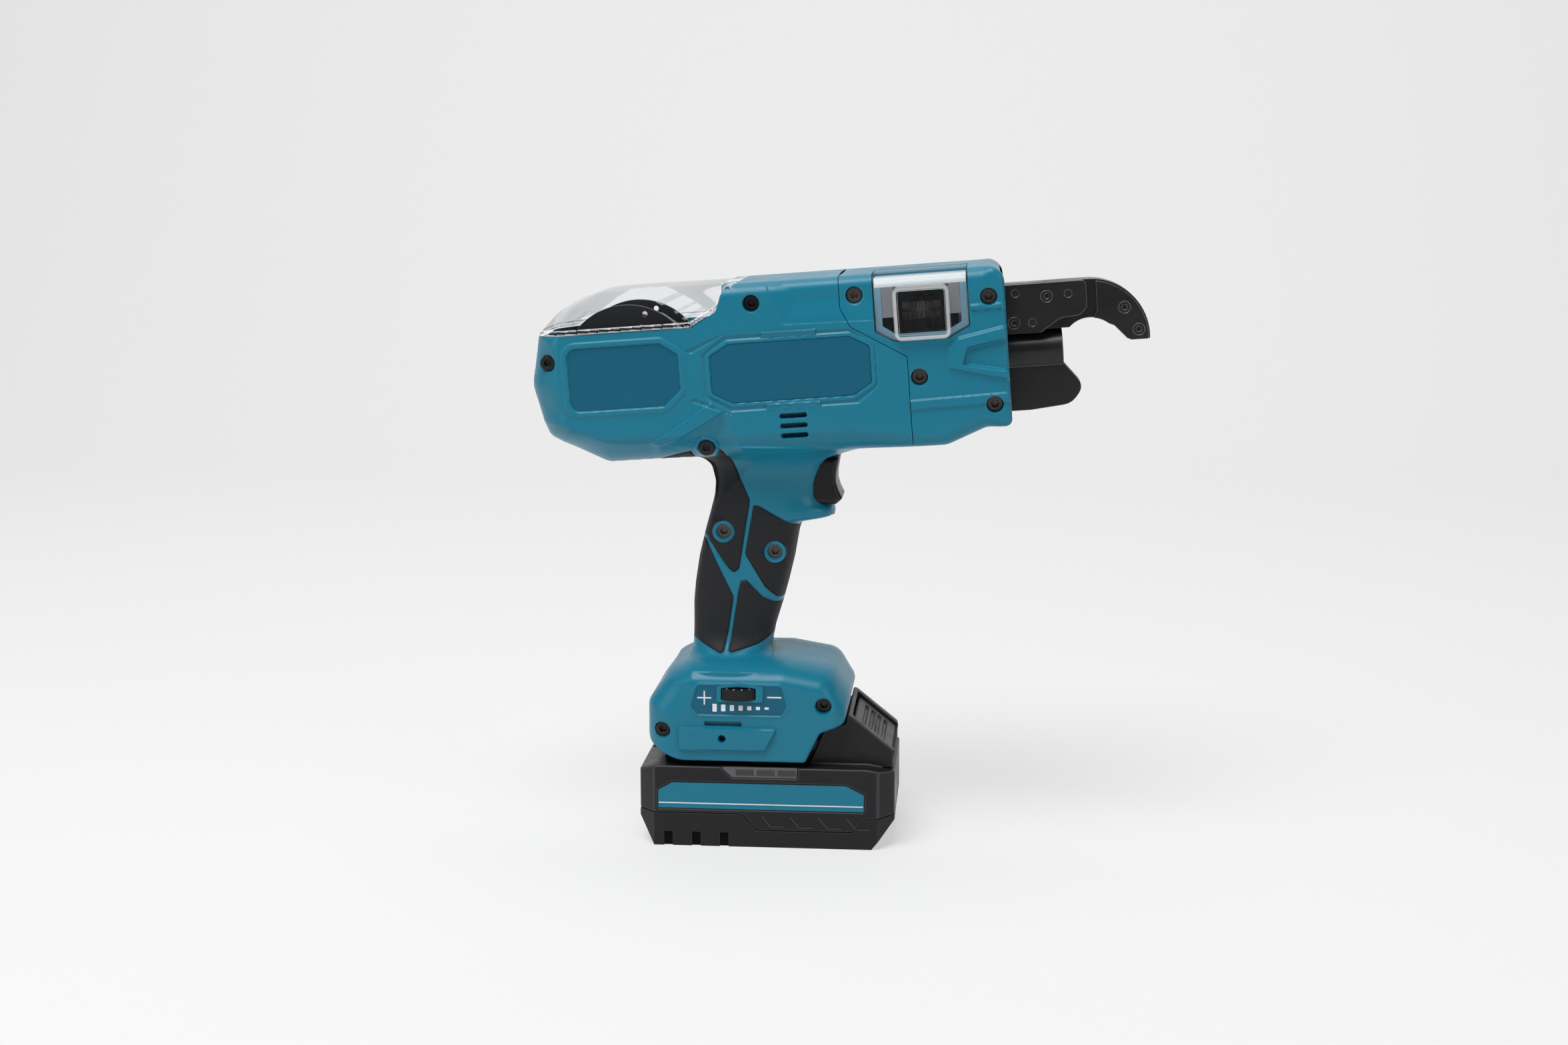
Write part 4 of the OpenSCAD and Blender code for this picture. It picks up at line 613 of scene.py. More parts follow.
class Skin:
    """A moulded shell's outside: a height field over the side plane.

    Attributes:
        past_rim: grid steps that are looked at outside the region.
        rim_pull: grid steps over which points are drawn to the region's rim.
        crease_pull: grid steps over which points are drawn to a feature's outline.
    """

    past_rim = 1.2
    rim_pull = 0.62
    crease_pull = 0.48

    def __init__(self, region: Field, half: Field, features: Sequence[Feature], step: float) -> None:
        """Args:
        region: signed distance, positive where the shell is.
        half: the shell's half width.
        features: what stands out of it or is sunk into it.
        step: the grid's step in millimetres.
        """
        self.region, self.half, self.features, self.step = region, half, features, step

    def height(self, at: np.ndarray) -> np.ndarray:
        """Returns the half width at points, features included."""
        made = self.half(at)
        for f in self.features:
            near = f.outline.near(at, f.reach)
            if near.any():
                made[near] += f.profile(f.outline(at[near]))
        for ring in HANDLE_RINGS:
            near = ring.near(at, 1.0)
            if near.any():
                inside = ring(at[near])
                flat = RING_FACE - RING_DEPTH * np.clip((inside - RING_WIDTH) / 0.35, 0, 1)
                made[near] = np.where(inside > -0.03, flat, made[near])
        return made

    @staticmethod
    def snapped(at: np.ndarray, contour: Field, reach: float) -> np.ndarray:
        """Moves the points within reach of a contour onto it.

        Args:
            at: the points, which are changed.
            contour: signed distance to the contour.
            reach: how far a point may move.

        Returns:
            Which points lie on the contour.
        """
        on = np.abs(contour(at)) < reach
        spots = at[on]
        for _ in range(3):
            d = contour(spots)
            slope = gradient(contour, spots, 0.02)
            spots = spots - (d / np.maximum((slope * slope).sum(axis=1), 0.25))[:, None] * slope
        at[on] = spots
        return on

    @staticmethod
    def triangles(quads: np.ndarray, inside: np.ndarray, crisp: np.ndarray,
                  height: np.ndarray) -> np.ndarray:
        """Cuts quads in two: along a crease, or else along the flatter diagonal.

        Args:
            quads: corner indices.
            inside: which points belong to the shell.
            crisp: the outline that each point lies on, or -1.
            height: each point's half width.

        Returns:
            The triangles whose corners are all inside.
        """
        enough = inside[quads].sum(axis=1) >= 3
        quads = quads[enough]
        ok, mark, level = inside[quads], crisp[quads], height[quads]
        same = (mark[:, 0] >= 0) & (mark[:, 0] == mark[:, 2])
        other = (mark[:, 1] >= 0) & (mark[:, 1] == mark[:, 3])
        flatter = np.abs(level[:, 0] - level[:, 2]) <= np.abs(level[:, 1] - level[:, 3])
        first = np.where(same | other, same, flatter)
        first = np.where(~ok[:, 1] | ~ok[:, 3], True, np.where(~ok[:, 0] | ~ok[:, 2], False, first))
        faces = np.concatenate([quads[first][:, [0, 1, 2]], quads[first][:, [0, 2, 3]],
                                quads[~first][:, [0, 1, 3]], quads[~first][:, [1, 2, 3]]])
        return faces[inside[faces].all(axis=1)]

    def surface(self, low: Sequence[float], high: Sequence[float],
                masks: Sequence[Outline]) -> tuple[np.ndarray, np.ndarray, np.ndarray]:
        """Meshes the field.

        Args:
            low: the lowest (x, z) of the grid.
            high: the highest (x, z) of the grid.
            masks: outlines whose inside becomes a material of its own.

        Returns:
            Points (x, z, half width), triangles, and each triangle's mask (True inside).
        """
        xs, zs = (np.arange(a, b + self.step, self.step) for a, b in zip(low, high))
        at = np.stack(np.meshgrid(xs, zs, indexing="ij"), axis=-1).reshape(-1, 2)
        use = self.region(at) > -self.past_rim * self.step
        index = np.full(len(at), -1)
        index[use] = np.arange(use.sum())
        grid = index.reshape(len(xs), len(zs))
        at = at[use]
        held = self.snapped(at, self.region, self.rim_pull * self.step)
        inside = (self.region(at) > -0.02) | held
        crisp = np.full(len(at), -1)
        contours = [f.outline for f in self.features] + list(masks) + HANDLE_RINGS
        for i, outline in enumerate(contours):
            free = ~held & outline.near(at, self.step)
            if not free.any():
                continue
            spots = at[free]
            on = self.snapped(spots, outline, self.crease_pull * self.step)
            at[free] = spots
            which = np.flatnonzero(free)[on]
            held[which] = True
            crisp[which] = i
        height = self.height(at)
        quads = np.stack([grid[:-1, :-1], grid[1:, :-1], grid[1:, 1:], grid[:-1, 1:]], axis=-1)
        quads = quads.reshape(-1, 4)
        faces = self.triangles(quads[(quads >= 0).all(axis=1)], inside, crisp, height)
        a, b, c = (at[faces[:, i]] for i in range(3))
        area = (b[:, 0] - a[:, 0]) * (c[:, 1] - a[:, 1]) - (b[:, 1] - a[:, 1]) * (c[:, 0] - a[:, 0])
        faces = faces[area > 1e-4]
        centre = at[faces].mean(axis=1)
        masked = np.zeros(len(faces), bool)
        for outline in masks:
            near = outline.near(centre, 0.0)
            masked[near] |= outline(centre[near]) > 0
        for ring in (*HANDLE_RINGS, disc(TAIL_RING, TAIL_RING_R)):
            near = ring.near(centre, 0.0)
            masked[near] &= ring(centre[near]) < 0
        return np.column_stack([at, height]), faces, masked


def rim_edges(faces: np.ndarray) -> np.ndarray:
    """Returns the directed edges that only one triangle has."""
    pairs = np.concatenate([faces[:, [0, 1]], faces[:, [1, 2]], faces[:, [2, 0]]])
    key = np.sort(pairs, axis=1)
    _, where, count = np.unique(key, axis=0, return_index=True, return_counts=True)
    return pairs[where[count == 1]]


def skirted(points: np.ndarray, faces: np.ndarray, ends: Field, region: Field, half: Field, inset: Field,
            rings: int = 6) -> tuple[np.ndarray, np.ndarray]:
    """Turns a surface's rim inwards.

    Args:
        points: (x, z, half width).
        faces: the surface's triangles.
        ends: half width where the rim ends, for rim points (x, z, half width).
        region: signed distance of the surface's region.
        half: half width of the body, for rims that go on round.
        inset: how far outwards the rim goes on at each point.
        rings: steps of the rim.

    Returns:
        All points and faces, the rim's included.
    """
    edges = rim_edges(faces)
    used = np.unique(edges)
    spots = points[used]
    flat = spots[:, :2]
    out = -gradient(region, flat, 0.05)
    out /= np.maximum(np.linalg.norm(out, axis=1, keepdims=True), 1e-6)
    more = inset(flat)
    last = ends(spots)
    layers = [used]
    made = [points]
    total = len(points)
    for k in range(1, rings + 1):
        share = k / rings
        there = flat + out * (more * math.sin(share * math.pi / 2))[:, None]
        straight = spots[:, 2] + (last - spots[:, 2]) * share
        around = np.clip(half(there), MIDDLE, spots[:, 2])
        around = around if k < rings else np.minimum(around, last)
        made.append(np.column_stack([there, np.where(more > 0, around, straight)]))
        layers.append(np.arange(total, total + len(used)))
        total += len(used)
    slot = {v: i for i, v in enumerate(used)}
    a = np.array([slot[v] for v in edges[:, 0]])
    b = np.array([slot[v] for v in edges[:, 1]])
    walls = []
    for near, far in zip(layers, layers[1:]):
        walls.append(np.stack([near[b], near[a], far[a]], axis=1))
        walls.append(np.stack([near[b], far[a], far[b]], axis=1))
    return np.concatenate(made), np.concatenate([faces, *walls])


def upright(flat: np.ndarray, y: float | np.ndarray) -> np.ndarray:
    """Returns points of the side plane, (x, z) and more, as (x, y, z)."""
    return np.column_stack([flat[:, 0], np.broadcast_to(y, len(flat)), flat[:, 1]])


def ladder(count: int) -> list[tuple[int, ...]]:
    """Returns the quads of a strip whose points come in that many pairs."""
    return [(2 * i, 2 * i + 1, 2 * i + 3, 2 * i + 2) for i in range(count - 1)]


def band(first: int, second: int, n: int) -> list[tuple[int, ...]]:
    """Returns the quads between two of several closed loops of n points each."""
    ring = [(i, (i + 1) % n) for i in range(n)]
    return [(first * n + a, first * n + b, second * n + b, second * n + a) for a, b in ring]


def add_mesh(name: str, points: np.ndarray, faces: Sequence[Sequence[int]], finish: Finish, body: str,
             sharp: float = SHARP) -> bpy.types.Object:
    """Makes a piece from points and faces and lets it ride on a body.

    Args:
        name: the object's name.
        points: places in millimetres.
        faces: corner indices.
        finish: its look.
        body: the CAD body it moves with.
        sharp: edges bent by more than these degrees stay sharp.

    Returns:
        The object.
    """
    mesh = bpy.data.meshes.new(name)
    mesh.from_pydata((np.asarray(points) * MM).tolist(), [], [list(map(int, f)) for f in faces])
    mesh.validate()
    mesh.polygons.foreach_set("use_smooth", [True] * len(mesh.polygons))
    mesh.set_sharp_from_angle(angle=math.radians(sharp))
    mesh.materials.append(finish.material())
    obj = put(name, mesh)
    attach(obj, body)
    return obj


@contextmanager
def edited(mesh: bpy.types.Mesh) -> Iterator[bmesh.types.BMesh]:
    """Opens a mesh for editing and writes it back."""
    form = bmesh.new()
    form.from_mesh(mesh)
    yield form
    form.to_mesh(mesh)
    form.free()


def triangulated(node: str) -> tuple[np.ndarray, np.ndarray]:
    """Returns a CAD node's points in millimetres and its triangles."""
    mesh = frame["nodes"][node].data
    mesh.calc_loop_triangles()
    points = np.array([v.co for v in mesh.vertices]) / MM
    return points, np.array([t.vertices for t in mesh.loop_triangles])


def baked(obj: bpy.types.Object) -> bpy.types.Mesh:
    """Returns an object's mesh with its modifiers in it."""
    depsgraph = bpy.context.evaluated_depsgraph_get()
    depsgraph.update()
    return bpy.data.meshes.new_from_object(obj.evaluated_get(depsgraph), preserve_all_data_layers=True,
                                           depsgraph=depsgraph)


class Dresser:
    """Gives CAD nodes their finishes, with softened edges where they are seen.

    Attributes:
        shares: the parts of a rounding's width that are tried in turn.
        stray: how many widths a point may move.
    """

    shares = (1.0, 0.6, 0.35, 0.2, 0.0)
    stray = 1.3

    def __init__(self) -> None:
        """Reads each node's body and material slot."""
        record = frame["record"]
        self.body = {n: b for b, nodes in record["behaviour"]["bodies"].items() for n in nodes}
        self.slot = {s["node"]: s["material_slot"] for s in record["subparts"]}
        self.done: set[str] = set()

    def take(self, node: str, obj: bpy.types.Object, slot: Optional[str] = None) -> None:
        """Lets an object stand for a node."""
        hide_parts(node)
        self.done.add(node)

    def soften(self, node: str, width: float, finish: Optional[Finish] = None,
               wear_and_highlight: Optional[Finish] = None, segments: int = 2) -> bpy.types.Object:
        """Replaces a node by a copy with rounded edges.

        Args:
            node: the CAD node.
            width: the rounding's width in millimetres.
            finish: its look, the slot's own if left out.
            wear_and_highlight: the edges' look, if it differs; lighter edges are wear with a painted
                highlight.
            segments: steps of the rounding.

        Returns:
            The copy.
        """
        mesh = self.merged(node)
        mesh.materials.append((finish or FINISHES[self.slot[node]]).material())
        if wear_and_highlight:
            mesh.materials.append(wear_and_highlight.material())
        obj = put(f"{node}_soft", mesh)
        for share in self.shares:
            obj.modifiers.clear()
            if width * share:
                self.round_edges(obj, width * share * MM, segments, 1 if wear_and_highlight else -1)
            even = obj.modifiers.new("shading", "WEIGHTED_NORMAL")
            even.keep_sharp = True
            even.weight = 80
            made = baked(obj)
            if self.strayed(mesh, made) < self.stray * width * MM:
                break
        LOG.info("%s: edges %.2f mm", node, width * share)
        obj.modifiers.clear()
        obj.data = made
        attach(obj, self.body[node])
        self.take(node, obj)
        return obj

    @staticmethod
    def merged(node: str) -> bpy.types.Mesh:
        """Returns a copy of a node's mesh, with flat faces joined and slivers closed."""
        mesh = frame["nodes"][node].data.copy()
        with edited(mesh) as form:
            bmesh.ops.remove_doubles(form, verts=form.verts, dist=DOUBLE)
            bmesh.ops.dissolve_limit(form, angle_limit=FLAT_ANGLE, verts=form.verts, edges=form.edges)
            bmesh.ops.remove_doubles(form, verts=form.verts, dist=SLIVER)
        mesh.materials.clear()
        for name in ("custom_normal", "sharp_edge"):
            if mesh.attributes.get(name):
                mesh.attributes.remove(mesh.attributes[name])
        mesh.polygons.foreach_set("use_smooth", [True] * len(mesh.polygons))
        return mesh

    @staticmethod
    def round_edges(obj: bpy.types.Object, width: float, segments: int, slot: int) -> None:
        """Adds the modifier that rounds an object's sharp edges.

        Args:
            obj: the object.
            width: the rounding's width in metres.
            segments: its steps.
            slot: the material slot of the rounding, -1 for the faces' own.
        """
        cut = obj.modifiers.new("edges", "BEVEL")
        cut.width = width
        cut.segments = segments
        cut.limit_method = "ANGLE"
        cut.angle_limit = math.radians(32)
        cut.miter_outer = "MITER_ARC"
        cut.use_clamp_overlap = False
        cut.material = slot

    @staticmethod
    def strayed(before: bpy.types.Mesh, after: bpy.types.Mesh) -> float:
        """Returns how far the points of a mesh lie off an earlier one, in metres."""
        corners = [p.vertices for p in before.polygons]
        tree = BVHTree.FromPolygons([v.co for v in before.vertices], corners)
        return max((tree.find_nearest(v.co)[3] for v in after.vertices), default=0.0)

    def paint_rest(self) -> None:
        """Gives every node that is still shown its slot's finish."""
        for node, obj in frame["nodes"].items():
            if node in self.done:
                continue
            obj.data.materials.clear()
            obj.data.materials.append(FINISHES[self.slot[node]].material())


@dataclass
class Shells:
    """The housing's outside on both sides: rear shells, grips and nose covers.

    Attributes:
        dresser: keeps count of the nodes.
        step: the finest shell's grid step.
        seam: half a seam's width.
        wall: how deep a rim goes at a seam.
        turn: how far the skin ends inside the handle's outline.
        ease: over what distance that fades beside barrel and foot.
        foot_rim: where the foot's lower rim ends.
        widest: the greatest half width on each side.
    """

    dresser: Dresser
    step: float = 0.44
    seam: float = 0.15
    wall: float = 2.6
    turn: float = 1.6
    ease: float = 6.0
    foot_rim: float = 28.0
    widest: dict[Side, float] = field(default_factory=lambda: {Side.RIGHT: 39.0, Side.LEFT: 36.45})

    def rear_region(self, at: np.ndarray) -> np.ndarray:
        """Returns the signed distance of a rear shell's region."""
        tail = np.minimum(np.minimum(BARREL(at), -NOSE(at) - self.seam), -COVER(at) - 2 * self.seam)
        foot = -smooth_max(-FOOT(at), -FOOT_BACK(at), 2.0)
        body = np.maximum(np.maximum(tail, HANDLE(at) - self.inset(at)), foot)
        return np.minimum(body, -TRIGGER_GAP(at))

    def right_rear_region(self, at: np.ndarray) -> np.ndarray:
        """Returns the right shell's region, which the dial's bay goes through."""
        return np.minimum(self.rear_region(at), -DIAL_BAY(at))

    def inset(self, at: np.ndarray) -> np.ndarray:
        """Returns how far the skin ends inside the handle's outline: nothing beside barrel and foot."""
        return self.turn * smooth(0.2, self.ease, -FOOT(at)) * smooth(0.2, self.ease, -BARREL(at))

    def nose_region(self, at: np.ndarray) -> np.ndarray:
        """Returns the signed distance of a nose cover's region."""
        return np.minimum(BARREL(at), NOSE(at) - self.seam)

    def right_nose_region(self, at: np.ndarray) -> np.ndarray:
        """Returns the nose cover's region without the feed window."""
        return np.minimum(self.nose_region(at), -WINDOW(at) - self.seam)

    @staticmethod
    def common_features() -> list[Feature]:
        """Returns what both sides of the rear shells have."""
        made = [
            Feature(LEAF, fall(0.62, 8.0), reach=0.5),
            Feature(TAIL_BAND, raised(0.9, 0.7)),
            Feature(REAR_FACET, fall(0.30, 4.0), reach=0.5),
            Feature(TOP_PANEL, top_fall),
            Feature(SIDE_FRAME, raised(-0.7, 1.1)),
            Feature(SIDE_LABEL, rim(0.75, 1.5, 0.9)),
        ]
        made += [Feature(tab, raised(0.9, 0.6)) for tab in TABS]
        made += [Feature(wing, raised(-0.6, 0.8)) for wing in SIDE_WINGS]
        return made + [Feature(pad, pad_swell) for pad in PADS]

    @staticmethod
    def right_features() -> list[Feature]:
        """Returns what only the right rear shell has."""
        made = [
            Feature(REAR_LABEL, rim(0.6, 2.0, 1.0)),
            Feature(REAR_LABEL, raised(-0.85, 0.4)),
            Feature(DIAL_PANEL, rim(0.3, 0.8, 0.6)),
            Feature(DIAL_PANEL, raised(-0.85, 0.4)),
            Feature(HOOK_PLATE, raised(1.7, 0.6)),
            Feature(HOOK_SLOT, bore(4.0)),
            Feature(circle(-19.2, 49.8, 1.75), bore(6.0)),
            Feature(circle(-46, 52.5, BORE_R), bore(7.0)),
            Feature(circle(25.5, 65, BORE_R), bore(7.0)),
        ]
        for spot in ((-94.6, 10.8), (-3.8, 30.8), TAIL_RING):
            made.append(Feature(disc(spot, BORE_R), bore(9.0)))
        made.append(Feature(disc(TAIL_RING, TAIL_RING_R), raised(0.8, 0.5)))
        return made + [Feature(vent, bore(5.0)) for vent in VENTS]

    @staticmethod
    def nose_features() -> list[Feature]:
        """Returns what both nose covers have."""
        return [
            Feature(NOSE_RIDGE, raised(0.9, 0.9)),
            Feature(NOSE_VEE, raised(1.4, 1.5)),
            Feature(NOSE_POCKET, raised(-2.2, 1.5)),
            Feature(NOSE_BAND, raised(0.9, 0.9)),
            Feature(TOP_PANEL, top_fall),
        ]

    @staticmethod
    def screw_bores() -> list[Feature]:
        """Returns the nose cover's screw bores."""
        return [Feature(disc(spot, BORE_R), bore(9.0))
                for spot in ((40.4, 31.1), (97.4, 26.7), (66, -5.6), (97.4, -19.3))]

    def ends(self, region: str) -> Field:
        """Returns where a shell's rim ends.

        Args:
            region: "rear", "right nose" or "left nose".

        Returns:
            The half width at rim points (x, z, half width).
        """
        def close(outline: Outline, flat: np.ndarray, reach: float) -> np.ndarray:
            """Returns the points within reach of an outline."""
            return np.abs(outline(flat)) < reach

        def found(spots: np.ndarray) -> np.ndarray:
            """Returns the half width where the rim ends: behind the wall at a seam, else the middle."""
            flat = spots[:, :2]
            inner = np.maximum(spots[:, 2] - self.wall, 0.1)
            middle = np.full(len(spots), MIDDLE)
            at_seam = close(NOSE, flat, SEAM_REACH)
            if region == "rear":
                at_seam |= close(COVER, flat, LIP_REACH) | close(TRIGGER_GAP, flat, CUT_REACH)
                at_seam |= close(DIAL_BAY, flat, CUT_REACH)
                foot = (FOOT(flat) < CUT_REACH) & (flat[:, 1] < FOOT_LOW)
                middle = np.where(foot, np.minimum(spots[:, 2], self.foot_rim), middle)
            else:
                at_seam |= flat[:, 0] > MOUTH_X
            if region == "right nose":
                at_seam |= close(WINDOW, flat, SEAM_REACH) & (BARREL(flat) > CUT_REACH)
            return np.where(at_seam, inner, middle)
        return found

    def handle_rim(self, at: np.ndarray) -> np.ndarray:
        """Returns how far the rim goes on outwards: round the handle's front and back."""
        more = self.inset(at)
        free = (np.abs(TRIGGER_GAP(at)) > CUT_REACH) & (np.abs(HANDLE(at) - more) < 0.4)
        return np.where(free, more, 0.0)

    def shell(self, node: str, side: Side, skin: Skin, low: Sequence[float], high: Sequence[float],
              grip: Optional[str], region: str) -> None:
        """Makes one shell's outside.

        Args:
            node: the CAD node it stands for.
            side: the tool's side.
            skin: its height field.
            low: lowest (x, z).
            high: highest (x, z).
            grip: the grip's CAD node, if pads are taken out of the shell.
            region: "rear", "right nose" or "left nose".
        """
        points, faces, masked = skin.surface(low, high, PADS if grip else [])
        points[:, 2] = np.minimum(points[:, 2], self.widest[side])
        inset = self.handle_rim if grip else no_turn
        whole, walls = skirted(points, faces, self.ends(region), skin.region, body_half, inset)
        rim_faces = walls[len(faces):]
        centre = whole[rim_faces[:, :2], :2].mean(axis=1)
        on_pad = np.zeros(len(rim_faces), bool)
        if grip:
            for pad in PADS:
                on_pad |= pad(centre) > 0
        parts = {node: (np.concatenate([faces[~masked], rim_faces[~on_pad]]), TEAL)}
        if grip:
            parts[grip] = (np.concatenate([faces[masked], rim_faces[on_pad]]), RUBBER)
        place = upright(whole, side.value * whole[:, 2])
        for name, (corners, finish) in parts.items():
            used, packed = np.unique(corners, return_inverse=True)
            packed = packed.reshape(corners.shape)
            packed = packed if side is Side.RIGHT else packed[:, ::-1]
            obj = add_mesh(f"{name}_skin", place[used], packed, finish, "housing")
            self.dresser.take(name, obj)

    @staticmethod
    def core(node: str, skin: Skin, depth: float = 1.5) -> None:
        """Keeps the inside of a shell: the CAD faces that lie behind its outside.

        Args:
            node: the shell's CAD node.
            skin: its outside.
            depth: how far behind the outside a face has to lie.
        """
        points, faces = triangulated(node)
        flat = points[:, [0, 2]]
        within = np.maximum(np.maximum(BARREL(flat), HANDLE(flat)), FOOT(flat)) > 0.5 * depth
        keep = within[faces].all(axis=1)
        for share in ((1, 1, 1), (1, 1, 0), (0, 1, 1), (1, 0, 1)):
            spot = np.einsum("k,nkc->nc", np.array(share) / sum(share), points[faces])
            keep &= skin.height(spot[:, [0, 2]]) - np.abs(spot[:, 1]) > depth
        if not keep.any():
            return
        used, packed = np.unique(faces[keep], return_inverse=True)
        points = points[used]
        most = np.maximum(skin.height(points[:, [0, 2]]) - depth, 0)
        points[:, 1] = np.clip(points[:, 1], -most, most)
        add_mesh(f"{node}_core", points, packed.reshape(-1, 3), TEAL, "housing")

    def build(self) -> None:
        """Makes the shells of both sides."""
        low, high = (-106.0, 38.0), (64.0, 259.0)
        both = self.common_features()
        rear = Skin(self.right_rear_region, body_half, both + self.right_features(), self.step)
        self.shell("right_housing", Side.RIGHT, rear, low, high, "right_grip", "rear")
        plain = Skin(self.rear_region, body_half, both, self.step * 1.3)
        self.shell("left_housing", Side.LEFT, plain, low, high, "left_grip", "rear")
        low, high = (28.0, 174.0), (110.0, 262.0)
        bored = self.nose_features() + self.screw_bores()
        nose = Skin(self.right_nose_region, body_half, bored, self.step * 0.9)
        self.shell("right_nose_cover", Side.RIGHT, nose, low, high, None, "right nose")
        left = Skin(self.nose_region, lambda at: body_half(at) - 1.0 * smooth(0.0, 2.0, NOSE(at)),
                    self.nose_features(), self.step * 1.2)
        self.shell("left_nose_cover", Side.LEFT, left, low, high, None, "left nose")
        for node, skin in (("right_housing", rear), ("left_housing", plain), ("right_nose_cover", nose),
                           ("left_nose_cover", left)):
            self.core(node, skin)


@dataclass
class Mechanics:
    """Jaw, trigger, dial, battery, screws and what shows of the inside.

    Attributes:
        dresser: softens the nodes.
        plates: the jaw's plates, whose lighter edges are wear with a painted highlight.
        pins: the jaw's screws and pins.
        cases: the battery's mouldings.
        others: the other nodes, each with the width of its edges.
        finishes: looks that differ from the slot's own.
        plate_edge: width of the plates' edges.
        pin_edge: width of the pins' edges.
        case_edge: width of the mouldings' edges.
        spring_foot: where the button's spring stands, not used.
        spring_kept: the share of its length that stays when the button is pressed, not used.
    """

    dresser: Dresser
    plates: tuple[str, ...] = (
        "jaw_core", "right_jaw_plate", "left_jaw_plate", "right_hook_cheek", "left_hook_cheek",
        "right_lower_guide", "left_lower_guide")
    pins: tuple[str, ...] = ("jaw_screws", "hook_screws", "jaw_dowels")
    cases: tuple[str, ...] = ("battery_lower_case", "battery_upper_case", "release_button")
    others: tuple[tuple[str, float], ...] = (
        ("gauge_lens", 0.2), ("battery_label", 0.12), ("trigger", 0.7), ("torque_dial", 0.25),
        ("feed_block", 0.5), ("spool", 0.35), ("rear_label_plate", 0.15), ("side_label_plate", 0.15),
        ("dial_panel", 0.15), ("hook_insert", 0.1), ("housing_screws", 0.3), ("nose_screws", 0.3),
        ("handle_screws", 0.3), ("twister_hooks", 0.2), ("twist_shaft", 0.2), ("drive_feed_gear", 0.1),
        ("idler_feed_gear", 0.1), ("switch_body", 0.3), ("wire_pack", 0.0), ("wire_winding", 0.0),
        ("spool_axle", 0.2))
    finishes: dict[str, Finish] = field(default_factory=lambda: {
        "housing_screws": STEEL, "nose_screws": SCREW, "handle_screws": SCREW, "drive_feed_gear": GEAR,
        "idler_feed_gear": GEAR})
    plate_edge: float = 0.22
    pin_edge: float = 0.14
    case_edge: float = 0.7
    spring_foot: tuple[float, float, float] = (46.0, 0.0, 36.1)
    spring_kept: float = 0.6

    def build(self) -> None:
        """Softens the nodes that show."""
        # Plates and pins get lighter metallic edges: wear, and a painted highlight.
        for node in self.plates:
            self.dresser.soften(node, self.plate_edge, STEEL, WORN_HIGHLIGHT)
        for node in self.pins:
            self.dresser.soften(node, self.pin_edge, STEEL, WORN_HIGHLIGHT)
        # The battery's mouldings get lighter edges: rubbing, and a painted highlight.
        for node in self.cases:
            self.dresser.soften(node, self.case_edge, wear_and_highlight=RUBBED_HIGHLIGHT)
        for node, width in self.others:
            self.dresser.soften(node, width, self.finishes.get(node))
        spring = self.dresser.soften("button_spring", 0.0)
        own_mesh(spring)


